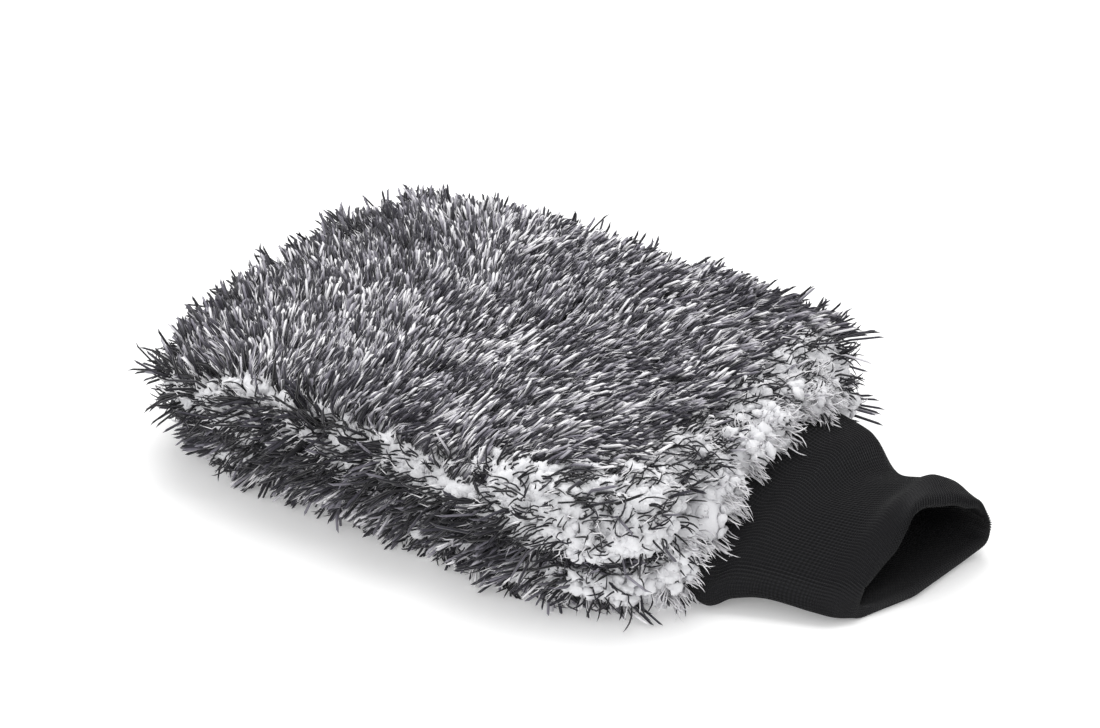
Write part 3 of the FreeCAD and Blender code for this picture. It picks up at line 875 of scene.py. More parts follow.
@dataclass
class RootField:
    """Random roots on a panel's surface, with what the groom needs to know at each."""

    place: np.ndarray
    normal: np.ndarray
    flat: np.ndarray

    @classmethod
    def scatter(cls, grid: np.ndarray, side: Side, count: int, generator: np.random.Generator) -> RootField:
        """Spread roots evenly over a grid surface, by area, at random places in its triangles.

        Args:
            grid: The surface's points, shaped (rows, columns, 3).
            side: Which panel it is, for its outward normal.
            count: How many roots.
            generator: The seeded source of random numbers.

        Returns:
            The roots with their normals and their place on the flat cloth.
        """
        rows, columns = grid.shape[:2]
        s, t = square_grid(rows, columns)
        normals = grid_normals(grid) * side.value
        quads = grid_quads(rows, columns)
        triangles = np.concatenate([quads[:, [0, 1, 2]], quads[:, [0, 2, 3]]])
        corners = grid.reshape(-1, 3)[triangles]
        edges = corners[:, 1:] - corners[:, :1]
        area = np.linalg.norm(np.cross(edges[:, 0], edges[:, 1]), axis=-1)
        total = np.cumsum(area)
        chosen = np.searchsorted(total, generator.random(count) * total[-1])
        first, second = generator.random((2, count))
        over = first + second > 1
        first, second = np.where(over, 1 - first, first), np.where(over, 1 - second, second)
        weight = np.stack([1 - first - second, first, second], axis=-1)[..., None]
        numbers = triangles[chosen]
        flat = np.stack([s, t], axis=-1).reshape(-1, 2)
        place, normal, square = ((values[numbers] * weight).sum(1)
                                 for values in (grid.reshape(-1, 3), normals.reshape(-1, 3), flat))
        return cls(place, unit(normal), cloth_place(square[:, 0], square[:, 1], side))

    def take(self, chosen: np.ndarray) -> RootField:
        """Only the chosen roots."""
        return RootField(self.place[chosen], self.normal[chosen], self.flat[chosen])


@dataclass(frozen=True)
class StrandKind:
    """One kind of strand: how many on each panel, its range of lengths and widths, and its rings."""

    counts: tuple[int, int]
    length: tuple[float, float]
    width: tuple[float, float]
    bend: float
    stations: tuple[float, ...]
    girths: tuple[float, ...]


@dataclass
class Groom:
    """How the pile lies: brushed along the mitt on top, fanned out over the edges, gathered in locks."""

    generator: np.random.Generator
    lock_pitch: float = 6.5 * MM
    lock_salt: int = 31
    gather: float = 0.5
    wander: float = 0.40
    own_wander: float = 0.15
    turn_places: tuple[float, ...] = (-125 * MM, -55 * MM, 45 * MM)
    turn_degrees: tuple[float, ...] = (140, 80, 41)
    droop: float = 0.10

    def direction(self, roots: RootField, side: Side) -> np.ndarray:
        """Mean direction of the strands at each root.

        Args:
            roots: The roots.
            side: The panel they are on.

        Returns:
            Unit vectors: on the level part the normal and the nap, which turns along the mitt; on the sides
            the normal, a sweep towards the fingers and a hang.
        """
        x, normal = roots.place[:, 0], roots.normal
        level = ease(0.42, 0.78, np.abs(normal[:, 2]))[:, None]
        turn = np.radians(np.interp(x, self.turn_places, self.turn_degrees))
        turn = turn + 0.35 * smooth_noise(roots.flat, 30 * MM, 5)
        nap = np.stack([np.cos(turn), np.sin(turn), np.zeros(len(x))], axis=-1)
        lift = 0.85 - 0.30 * ease(-60 * MM, 60 * MM, x)
        brushed = nap * 0.85 + normal * lift[:, None]
        sweep = np.zeros_like(nap)
        sweep[:, 0] = -0.55 * ease(0.1, -0.6, normal[:, 1])
        sweep[:, 2] = np.where(side is Side.TOP, 0.05, -0.30)
        return unit(brushed * level + (normal * 0.8 + sweep) * (1 - level))

    def strands(self, roots: RootField, side: Side, kind: StrandKind, curl: np.ndarray, tones: np.ndarray,
                tip_highlight: np.ndarray) -> Strands:
        """Grow a strand from each root.

        Args:
            roots: The roots.
            side: The panel they are on.
            kind: The sizes of the strands, and how far they start along the normal before they lean.
            curl: How far each strand's middle is pushed sideways, as a share of its length.
            tones: The tone of each strand.
            tip_highlight: How much a painted highlight lightens each strand's tip.

        Returns:
            The strands, with the tips of each lock drawn together.
        """
        salt = self.lock_salt
        count = len(roots.place)
        mean = self.direction(roots, side)
        _, cell = nearest_cell(roots.flat, self.lock_pitch, salt)
        jitter = np.stack([lattice_random(cell, salt + key) for key in (3, 4, 5)], axis=-1) - 0.5
        lock_long = 0.8 + 0.4 * lattice_random(cell, salt + 6)
        own = self.generator.normal(0, self.own_wander, (count, 3))
        heading = unit(mean + self.wander * jitter + own)
        shortest, longest = kind.length
        reach = (shortest + (longest - shortest) * self.generator.random(count) ** 0.8) * lock_long
        tip = roots.place + heading * reach[:, None]
        _, owner = np.unique(cell, axis=0, return_inverse=True)
        owner = owner.ravel()
        share = np.bincount(owner).astype(float)
        centre = np.stack([np.bincount(owner, tip[:, axis]) / share for axis in range(3)], axis=-1)
        pull = self.gather * (0.55 + 0.45 * lattice_random(cell, salt + 7))
        tip = tip + (centre[owner] - tip) * pull[:, None]
        tip[:, 2] -= self.droop * reach * np.linalg.norm(heading[:, :2], axis=-1)
        rise = unit(roots.normal * kind.bend + heading * (1 - kind.bend))
        middle = roots.place + rise * reach[:, None] * 0.5
        sideways = unit(np.cross(heading, self.generator.normal(size=(count, 3)))) * (reach * curl)[:, None]
        middle, tip = middle + sideways, tip - 0.4 * sideways
        thinnest, thickest = kind.width
        thick = thinnest + (thickest - thinnest) * self.generator.random(count)
        return Strands(roots.place, middle, tip, thick, tones, tip_highlight, kind.stations, kind.girths)


@dataclass
class Puffs:
    """Loose round puffs of undercoat: small lumpy balls, flattened a little onto the cloth."""

    place: np.ndarray
    normal: np.ndarray
    radius: np.ndarray
    generator: np.random.Generator
    rings: int = 5
    spokes: int = 8
    flatten: float = 0.7
    lumps: float = 0.34
    least_height: float = 0.3 * MM

    def piece(self, name: str) -> bpy.types.Object:
        """Mesh every puff as rings of latitude and two poles, its points moved in or out at random.

        Args:
            name: The piece's name.

        Returns:
            The piece, with the attribute puff, which paints shade on each ball's underside, and a bake map
            with one cell for each ball.
        """
        count, rings, spokes = len(self.place), self.rings, self.spokes
        polar = math.pi * np.arange(1, rings + 1) / (rings + 1)
        turn = 2 * math.pi * np.arange(spokes) / spokes
        width, height = np.sin(polar)[:, None], self.flatten * np.cos(polar)[:, None]
        sphere = np.broadcast_arrays(width * np.cos(turn), width * np.sin(turn), height)
        shape = np.stack(sphere, axis=-1).reshape(-1, 3)
        shape = np.concatenate([shape, [[0, 0, self.flatten], [0, 0, -self.flatten]]])
        reach = self.radius[:, None] * (1 + self.lumps * self.generator.uniform(-1, 1, (count, len(shape))))
        own_axes = np.stack([*side_axes(self.normal), self.normal], axis=1)
        points = self.place[:, None] + (shape[None] * reach[..., None]) @ own_axes
        points[..., 2] = np.maximum(points[..., 2], self.least_height)
        up = np.append(np.repeat(np.cos(polar), spokes), [1.0, -1.0])
        base = (np.arange(count) * len(shape))[:, None, None]
        quads = grid_quads(rings, spokes, wrap_columns=True)
        corner = np.arange(spokes)
        after = (corner + 1) % spokes
        last = (rings - 1) * spokes
        top = np.stack([corner, after, np.full(spokes, rings * spokes)], axis=-1)
        bottom = np.stack([last + after, last + corner, np.full(spokes, rings * spokes + 1)], axis=-1)
        caps = np.concatenate([top, bottom])
        ring_share = np.append(np.repeat(np.arange(1, rings + 1), spokes), [0, rings + 1]) / (rings + 1)
        quad_step = np.where(quads % spokes == quads[:, :1] % spokes, 0, 1)
        quad_corner = np.tile(corner, rings - 1)[:, None] + quad_step
        cap_step = np.repeat([[0, 1, 0.5], [1, 0, 0.5]], spokes, axis=0)
        cap_corner = np.tile(corner, 2)[:, None] + cap_step
        bake = cell_places(count, (np.stack([quad_corner / spokes, ring_share[quads]], axis=-1),
                                   np.stack([cap_corner / spokes, ring_share[caps]], axis=-1)))
        faces = [(base + quads).reshape(-1, 4), (base + caps).reshape(-1, 3)]
        # painted shade: the puff value falls from the top of each ball to its underside, which the finish
        # greys
        values = {"puff": np.tile(ease(-0.7, 0.7, up), count)}
        return make_piece(name, points.reshape(-1, 3), faces, values, {BAKE_MAP: bake})


def lock_tones(flat: np.ndarray, generator: np.random.Generator, shares: tuple[float, float],
               salt: int) -> np.ndarray:
    """Tones from 0, charcoal, to 1, white, for strands dyed dark, left grey or left white.

    Args:
        flat: The roots' places on the flat cloth.
        generator: The seeded source of random numbers.
        shares: The share of dark strands, and of dark and grey ones together.
        salt: Picks the set of patches.

    Returns:
        Each strand's tone: its own kind, shifted a little by broad patches and by its lock.
    """
    patch = smooth_noise(flat, 30 * MM, salt) * 0.12 + smooth_noise(flat, 11 * MM, salt + 1) * 0.20
    _, cell = nearest_cell(flat, 4.5 * MM, salt + 2)
    kind = generator.random(len(flat)) + patch + 0.25 * (lattice_random(cell, salt + 5) - 0.5)
    own = generator.normal(0, 0.07, len(flat))
    middle = np.where(kind < shares[0], 0.12, np.where(kind < shares[1], 0.52, 0.86))
    return np.clip(middle + own, 0, 1)


@dataclass
class PlushPanels:
    """Both plush panels: the puffy undercoat on its padded body, with the long pile over it."""

    body: PaddedBody
    pile_finish: bpy.types.Material
    coat_finish: bpy.types.Material
    generator: np.random.Generator = field(default_factory=lambda: np.random.default_rng(7301))
    rows: int = 190
    columns: int = 156
    puff_pitch: float = 6.2 * MM
    puff_height: float = 4.2 * MM
    crumb_share: float = 0.25
    coat_depth: float = 5.5 * MM
    long_kind: StrandKind = StrandKind((21000, 14000), (9.5 * MM, 16 * MM), (1.1 * MM, 1.7 * MM), 0.5,
                                       (0.0, 0.45, 0.9), (0.7, 1.0, 0.88))
    fill_kind: StrandKind = StrandKind((38000, 22000), (6 * MM, 13 * MM), (0.5 * MM, 0.85 * MM), 0.6,
                                       (0.0, 0.6), (0.8, 0.95))
    curl_kind: StrandKind = StrandKind((10500, 7000), (7 * MM, 13 * MM), (0.7 * MM, 1.0 * MM), 0.25,
                                       (0.0, 0.25, 0.5, 0.7, 0.88), (0.7, 0.9, 1.0, 0.95, 0.75))
    ball_counts: tuple[int, int] = (8600, 7000)
    ball_radius: tuple[float, float] = (1.7 * MM, 3.5 * MM)
    root_depth: float = 1.0 * MM
    seam_height: float = 25 * MM
    fan_middle: tuple[float, float, float] = (5 * MM, 1 * MM, 0.5 * MM)
    fan_tip: tuple[float, float, float] = (16 * MM, 3 * MM, 1 * MM)
    most_triangles: int = 190000

    def scatter(self, grid: np.ndarray, side: Side, counts: tuple[int, int]) -> RootField:
        """Roots on one panel, as many as its side of `counts`, top first."""
        return RootField.scatter(grid, side, counts[0 if side is Side.TOP else 1], self.generator)

    def loose(self, roots: RootField) -> np.ndarray:
        """How loosely the pile stands: 0 on the brushed upper face, 1 over the near side and finger end.

        Args:
            roots: The roots.

        Returns:
            A share for each root.
        """
        x, z = roots.place[:, 0], roots.place[:, 2]
        ragged = smooth_noise(roots.flat, 26 * MM, 77)
        level = ease(0.55, 0.9, roots.normal[:, 2] + 0.18 * ragged)
        brushed = level * ease(-158 * MM, -128 * MM, x + 16 * MM * ragged)
        return (1 - brushed) * ease(17 * MM, 29 * MM, z + 5 * MM * ragged)

    def near_seam(self, roots: RootField, width: float) -> np.ndarray:
        """How near each root is to the seam's height: a bell curve of this width."""
        return np.exp(-((roots.place[:, 2] - self.seam_height) / width) ** 2)

    def seam_shade(self, roots: RootField) -> np.ndarray:
        """How much painted shade darkens the pile in the groove along the seam: none at the cuff end's front
        face.
        """
        return self.near_seam(roots, 5 * MM) * ease(80 * MM, 60 * MM, roots.place[:, 0])

    def corner_crease(self, roots: RootField) -> np.ndarray:
        """How near each root is to the crease between the panels, by the near corner of the cuff end."""
        x, y = roots.place[:, 0], roots.place[:, 1]
        return self.near_seam(roots, 6 * MM) * ease(50 * MM, 75 * MM, x) * ease(-50 * MM, -75 * MM, y)

    def far_corner(self, roots: RootField) -> np.ndarray:
        """How near each root is to the far corner of the cuff end, where long strands fan out."""
        x, y = roots.place[:, 0], roots.place[:, 1]
        return ease(66 * MM, 90 * MM, x) * ease(48 * MM, 78 * MM, y)

    def bare(self, roots: RootField, side: Side) -> np.ndarray:
        """How bare of long strands the pile is at each root, from 0 to 1.

        Args:
            roots: The roots.
            side: The panel they are on.

        Returns:
            High by the near corner of the cuff end, over its front face, round the throat and in gaps.
        """
        x, y, z = roots.place.T
        ragged = smooth_noise(roots.flat, 17 * MM, 63 + side.value)
        start = 50 * MM - 58 * MM * ease(35 * MM, 48 * MM, z) + 14 * MM * ragged
        inwards = -50 * MM - 14 * MM * ease(70 * MM, 20 * MM, x)
        corner = ease(-16 * MM, 34 * MM, x - start) * ease(0, 20 * MM, inwards - y - 7 * MM * ragged)
        corner = corner * ease(6 * MM, 14 * MM, z)
        tufted_seam = np.exp(-((z - 24 * MM) / (6 * MM)) ** 2) * ease(92 * MM, 82 * MM, x)
        corner = corner * (1 - 0.75 * tufted_seam)
        throat = ease(58 * MM, 70 * MM, x + 4 * MM * ragged) * ease(88 * MM, 66 * MM, np.abs(y))
        front = ease(78 * MM, 90 * MM, x) * np.where(y > 0, 0.62, 0.95)
        chance = ease(0.2, 0.8, smooth_noise(roots.flat, 13 * MM, 61 + side.value))
        gap = 0.58 + 0.34 * ease(-0.3, 0.4, smooth_noise(roots.flat, 15 * MM, 67))
        low_patch = ease(0.05, 0.45, smooth_noise(roots.flat, 12 * MM, 69))
        low_gap = 0.75 * low_patch * ease(30 * MM, 20 * MM, z)
        total = 0.97 * corner + 0.97 * throat + front + 0.3 * chance + gap * self.loose(roots) + low_gap
        return np.clip(total, 0, 0.98)

    def build(self) -> list[bpy.types.Object]:
        """Build both panels' coats and piles, dressed and riding on the mitt's body."""
        built = []
        for side in Side:
            coarse = self.body.swelled(side)
            fine = resample(resample(coarse, self.rows, 0), self.columns, 1)
            built += [self.coat(side, fine)] + self.pile(side, fine)
        return built

    def coat(self, side: Side, grid: np.ndarray) -> bpy.types.Object:
        """The undercoat: the padded surface pushed out into round puffs, with an inner face under it.

        Args:
            side: The top or the bottom panel.
            grid: The padded surface's points.

        Returns:
            The coat, which replaces the side's CAD undercoat.
        """
        s, t = square_grid(self.rows, self.columns)
        flat = cloth_place(s, t, side)
        away, _ = nearest_cell(flat, self.puff_pitch, 21)
        small, _ = nearest_cell(flat, self.puff_pitch * 0.45, 25)
        puff = np.sqrt(np.clip(1 - (away / (0.72 * self.puff_pitch)) ** 2, 0, 1))
        crumb = np.sqrt(np.clip(1 - (small / (0.34 * self.puff_pitch)) ** 2, 0, 1))
        mixed = (1 - self.crumb_share) * puff + self.crumb_share * crumb
        lift = mixed * self.puff_height - 0.5 * self.puff_height
        normals = grid_normals(grid) * side.value
        edge = ease(0.0, 0.05, 1 - np.maximum(np.abs(s), np.abs(t)))
        outer = grid + normals * (lift * edge)[..., None]
        inner = grid - normals * self.coat_depth
        # neither face goes below the ground, and the inner one stays above the outer one
        outer[..., 2] = np.maximum(outer[..., 2], 0.4 * MM)
        inner[..., 2] = np.maximum(inner[..., 2], 0.8 * MM)
        # the puff profile also goes into the colour, as painted shade in the gaps between puffs
        piece = shell_piece(f"{side.word}_undercoat_puffs", outer, inner, side is Side.BOTTOM,
                            {"puff": puff})
        dress(piece, self.coat_finish, Body.MITT)
        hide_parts(f"{side.word}_undercoat")
        return piece

    def pile(self, side: Side, grid: np.ndarray) -> list[bpy.types.Object]:
        """The long pile, the lighter fill between its strands, loose puffs and dark curls.

        Args:
            side: The top or the bottom panel.
            grid: The padded surface's points.

        Returns:
            The pieces, the first of which replaces the side's CAD pile.
        """
        groom = Groom(self.generator)
        long_pile = self.long_pile(groom, side, grid)
        short_pile = self.short_pile(groom, side, grid)
        puffs = self.loose_puffs(side, grid)
        curls = self.dark_curls(groom, side, grid)
        built = self.regions(long_pile, f"{side.word}_long_pile") + [puffs]
        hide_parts(f"{side.word}_long_pile")
        built += self.regions(curls, f"{side.word}_dark_curls")
        return built + self.regions(short_pile, f"{side.word}_short_pile")

    def long_pile(self, groom: Groom, side: Side, grid: np.ndarray) -> Strands:
        """Long strands: lighter and longer where the pile is loose, and fanned out at the far corner.

        Args:
            groom: How the pile lies.
            side: The top or the bottom panel.
            grid: The padded surface's points.

        Returns:
            The strands.
        """
        roots = self.scatter(grid, side, self.long_kind.counts)
        roots.place -= roots.normal * self.root_depth
        roots = roots.take(self.generator.random(len(roots.place)) > self.bare(roots, side))
        loose = self.loose(roots)
        # near the ground the tones get a little painted shade, and the tips less painted highlight
        low = ease(24 * MM, 12 * MM, roots.place[:, 2])
        tones = lock_tones(roots.flat, self.generator, (0.60, 0.86), 41)
        tones = tones * (1 - 0.4 * loose) * (1 - 0.05 * low)
        # painted shade in the seam's groove darkens the long strands
        tones = tones * (1 - 0.5 * self.seam_shade(roots))
        # painted highlight on the strand tips, weaker on the loose sides and near the ground
        tip_highlight_amount = 0.24 * (1 - loose) * (1 - 0.7 * low)
        strands = groom.strands(roots, side, self.long_kind, 0.05 + 0.22 * loose, tones, tip_highlight_amount)
        stretch = 1 + 0.4 * loose[:, None]
        strands.middle = roots.place + (strands.middle - roots.place) * stretch
        strands.tip = roots.place + (strands.tip - roots.place) * stretch
        fan = (self.far_corner(roots) * self.generator.uniform(0.3, 1.0, len(loose)))[:, None]
        strands.middle = strands.middle + fan * np.array(self.fan_middle)
        strands.tip = strands.tip + fan * np.array(self.fan_tip)
        strands.width = strands.width * (1 - 0.1 * loose)
        return strands

    def short_pile(self, groom: Groom, side: Side, grid: np.ndarray) -> Strands:
        """Short fill: mostly white where the pile is bare, loose or low, and thinned out in open patches.

        Args:
            groom: How the pile lies.
            side: The top or the bottom panel.
            grid: The padded surface's points.

        Returns:
            The strands.
        """
        fill = self.scatter(grid, side, self.fill_kind.counts)
        bare, loose = self.bare(fill, side), self.loose(fill)
        open_patch = loose * ease(-0.8, 0.0, smooth_noise(fill.flat, 12 * MM, 71))
        thinned = np.maximum(0.93 * ease(0.4, 0.8, bare), 0.85 * open_patch)
        kept = self.generator.random(len(fill.place)) > thinned
        fill, bare, loose = fill.take(kept), bare[kept], loose[kept]
        tones = lock_tones(fill.flat, self.generator, (0.30, 0.64), 45)
        low_light = 0.4 * ease(26 * MM, 14 * MM, fill.place[:, 2])
        light_share = np.maximum(np.maximum(0.82 * loose, low_light), ease(0.45, 0.8, bare))
        light = self.generator.random(len(tones)) < light_share
        # painted shade in the seam's groove darkens the fill strands too
        tones = np.where(light, np.maximum(tones, 0.9), tones) * (1 - 0.5 * self.seam_shade(fill))
        return groom.strands(fill, side, self.fill_kind, 0.1 + 0.3 * loose, tones, np.full(len(tones), 0.15))

    def loose_puffs(self, side: Side, grid: np.ndarray) -> bpy.types.Object:
        """Loose balls of undercoat where it shows between the strands.

        Args:
            side: The top or the bottom panel.
            grid: The padded surface's points.

        Returns:
            The piece.
        """
        roots = self.scatter(grid, side, self.ball_counts)
        share = np.maximum(ease(0.5, 0.85, self.bare(roots, side)), 0.4 * self.loose(roots))
        share = np.maximum(share, self.corner_crease(roots))
        roots = roots.take(self.generator.random(len(share)) < 0.9 * share)
        radius = self.generator.uniform(*self.ball_radius, len(roots.place))
        place = roots.place + roots.normal * (0.5 * radius - 0.3 * MM)[:, None]
        piece = Puffs(place, roots.normal, radius, self.generator).piece(f"{side.word}_loose_puffs")
        return dress(piece, self.coat_finish, Body.MITT)

    def dark_curls(self, groom: Groom, side: Side, grid: np.ndarray) -> Strands:
        """Short curled dark strands over the bare undercoat, fewer at the near end of the cuff's edge.

        Args:
            groom: How the pile lies.
            side: The top or the bottom panel.
            grid: The padded surface's points.

        Returns:
            The strands.
        """
        roots = self.scatter(grid, side, self.curl_kind.counts)
        chance = 0.95 * ease(0.45, 0.8, self.bare(roots, side)) + 0.25 * self.loose(roots)
        chance = chance + 0.9 * self.corner_crease(roots)
        cuff_end = ease(62 * MM, 84 * MM, roots.place[:, 0]) * ease(-92 * MM, -78 * MM, roots.place[:, 1])
        roots = roots.take(self.generator.random(len(chance)) < chance * (1 - 0.5 * cuff_end))
        count = len(roots.place)
        dark = np.clip(self.generator.normal(0.1, 0.06, count), 0, 1)
        return groom.strands(roots, side, self.curl_kind, np.full(count, 0.42), dark, np.zeros(count))

    def regions(self, strands: Strands, name: str) -> list[bpy.types.Object]:
        """Mesh a batch of strands as pieces along the mitt, none with too many triangles.

        Args:
            strands: The batch.
            name: What the pieces are called before their number.

        Returns:
            The pieces, dressed.
        """
        order = np.argsort(strands.root[:, 0])
        each = (len(strands.stations) - 1) * 6 + 4
        parts = math.ceil(len(order) * each / self.most_triangles)
        pieces = [strands.take(chosen).piece(f"{name}_{number}")
                  for number, chosen in enumerate(np.array_split(order, parts), start=1)]
        return [dress(piece, self.pile_finish, Body.MITT) for piece in pieces]


# ---------------------------------------------------------------------------------------------------------
# Cloth and padding inside the plush
# ---------------------------------------------------------------------------------------------------------
@dataclass
class InnerLayers:
    """What the pile hides: knitted backing, foam pads, lining bag, tapes and threads."""

    rows: int = 60
    columns: int = 50
    outer_gap: float = 0.2 * MM
    bite: float = 10 * MM

    def cloth(self, layer: str, name: str, thickness: float, finish: bpy.types.Material, slot: str,
              **sizes: float) -> list[bpy.types.Object]:
        """Both panels of one cloth layer, each a closed shell of the cloth's thickness.

        Args:
            layer: The CAD layer they replace.
            name: What the pieces are called after their side.
            thickness: The cloth's thickness.
            finish: Its material.
            slot: Not used.
            sizes: Extra sizes for the form.

        Returns:
            The two pieces.
        """
        form = LayerForm.around(layer, **sizes)
        s, t = square_grid(self.rows, self.columns)
        built = []
        for side in Side:
            outer, inner = form.points(side, s, t, self.outer_gap), form.points(side, s, t, thickness)
            piece = shell_piece(f"{side.word}_{name}", outer, inner, side is Side.BOTTOM,
                                flat=form.flat_size())
            dress(piece, finish, Body.MITT)
            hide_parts(f"{side.word}_{layer}")
            form.flat_size()
            built.append(piece)
        return built

    def foam(self, side: Side, finish: bpy.types.Material) -> bpy.types.Object:
        """One foam pad: a flat pillow with rounded sides and a hollow in its cuff end.

        Args:
            side: The pad above or below the hand.
            finish: The foam's material.

        Returns:
            The pad.
        """
        low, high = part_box(f"{side.word}_foam_pad")
        form = LayerForm(low, high, (low.z + high.z) / 2, rim=(high.z - low.z) / 2, crown=-0.6 * MM,
                         throat_half_width=-1.0, level_share=0.9, rim_power=2.0)
        s, t = square_grid(self.rows, self.columns)
        over, under = form.points(Side.TOP, s, t), form.points(Side.BOTTOM, s, t)
        # the throat's round hollow takes a bite out of the cuff end
        for face in (over, under):
            bite = ease(70 * MM, 52 * MM, np.abs(face[..., 1])) * ease(40 * MM, 110 * MM, face[..., 0])
            face[..., 0] -= bite * self.bite * ease(0.3, 1.0, s)
        piece = shell_piece(f"{side.word}_foam_pad_skin", over, under, False)
        dress(piece, finish, Body.MITT)
        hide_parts(f"{side.word}_foam_pad")
        return piece

    def build(self) -> list[bpy.types.Object]:
        """Build every inner layer and give the CAD tapes and threads their finishes."""
        backing = KnitCloth("warp_knit_backing", "#c9c8cc", "#6f6e75", 1.2, 1.4).material()
        lining = KnitCloth("polyester_mesh_lining", "#3a3a3e", "#151517", 1.0, 1.2).material()
        foam = GrainedFinish("polyether_foam", "#e3dccb", "#b9b09a", 0.8).material()
        tape = GrainedFinish("woven_seam_tape", "#3b3a40", "#1c1c20", 0.9,
                             stretch=(1.0, 1.0, 2.5)).material()
        thread = GrainedFinish("polyester_thread", "#55545b", "#26262a", 0.35, roughness=0.55).material()
        built = self.cloth("backing", "knit_backing", 1.5 * MM, backing, "backing_knit", rim=13 * MM)
        built += self.cloth("lining", "lining_bag", 1.0 * MM, lining, "lining_knit", rim=8 * MM,
                            level_share=0.8)
        built += [self.foam(side, foam) for side in Side]
        for node, finish in (("perimeter_seam_tape", tape), ("cuff_joint_tape", tape),
                             ("perimeter_seam_stitches", thread), ("lining_finger_tacks", thread),
                             ("cuff_joint_stitches", thread)):
            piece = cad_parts[node]
            piece.data.materials.clear()
            piece.data.materials.append(finish)
            built.append(piece)
        return built


# ---------------------------------------------------------------------------------------------------------
# The folded rib cuff
# ---------------------------------------------------------------------------------------------------------
@dataclass(frozen=True)
class CuffSection:
    """One closed section of the cuff, as control points in millimetres from its low near corner."""

    softness: float
    points: tuple[tuple[float, float, float], ...]

    def outline(self, count: int) -> np.ndarray:
        """Even points round the section: spaced by length, then smoothed by a bell-shaped low pass.

        Args:
            count: How many points.

        Returns:
            The outline in metres, shaped (count, 3).
        """
        corners = np.array(self.points + self.points[:1], float)
        steps = np.linalg.norm(np.diff(corners, axis=0), axis=1)
        length = np.concatenate([[0], np.cumsum(steps)])
        even = np.linspace(0, length[-1], count, endpoint=False)
        ring = np.stack([np.interp(even, length, corners[:, axis]) for axis in range(3)], axis=-1)
        spacing = length[-1] / count
        waves = np.fft.fftfreq(count, d=spacing)
        filtered = np.fft.fft(ring, axis=0) * np.exp(-2 * (math.pi * waves * self.softness) ** 2)[:, None]
        return np.fft.ifft(filtered, axis=0).real * MM


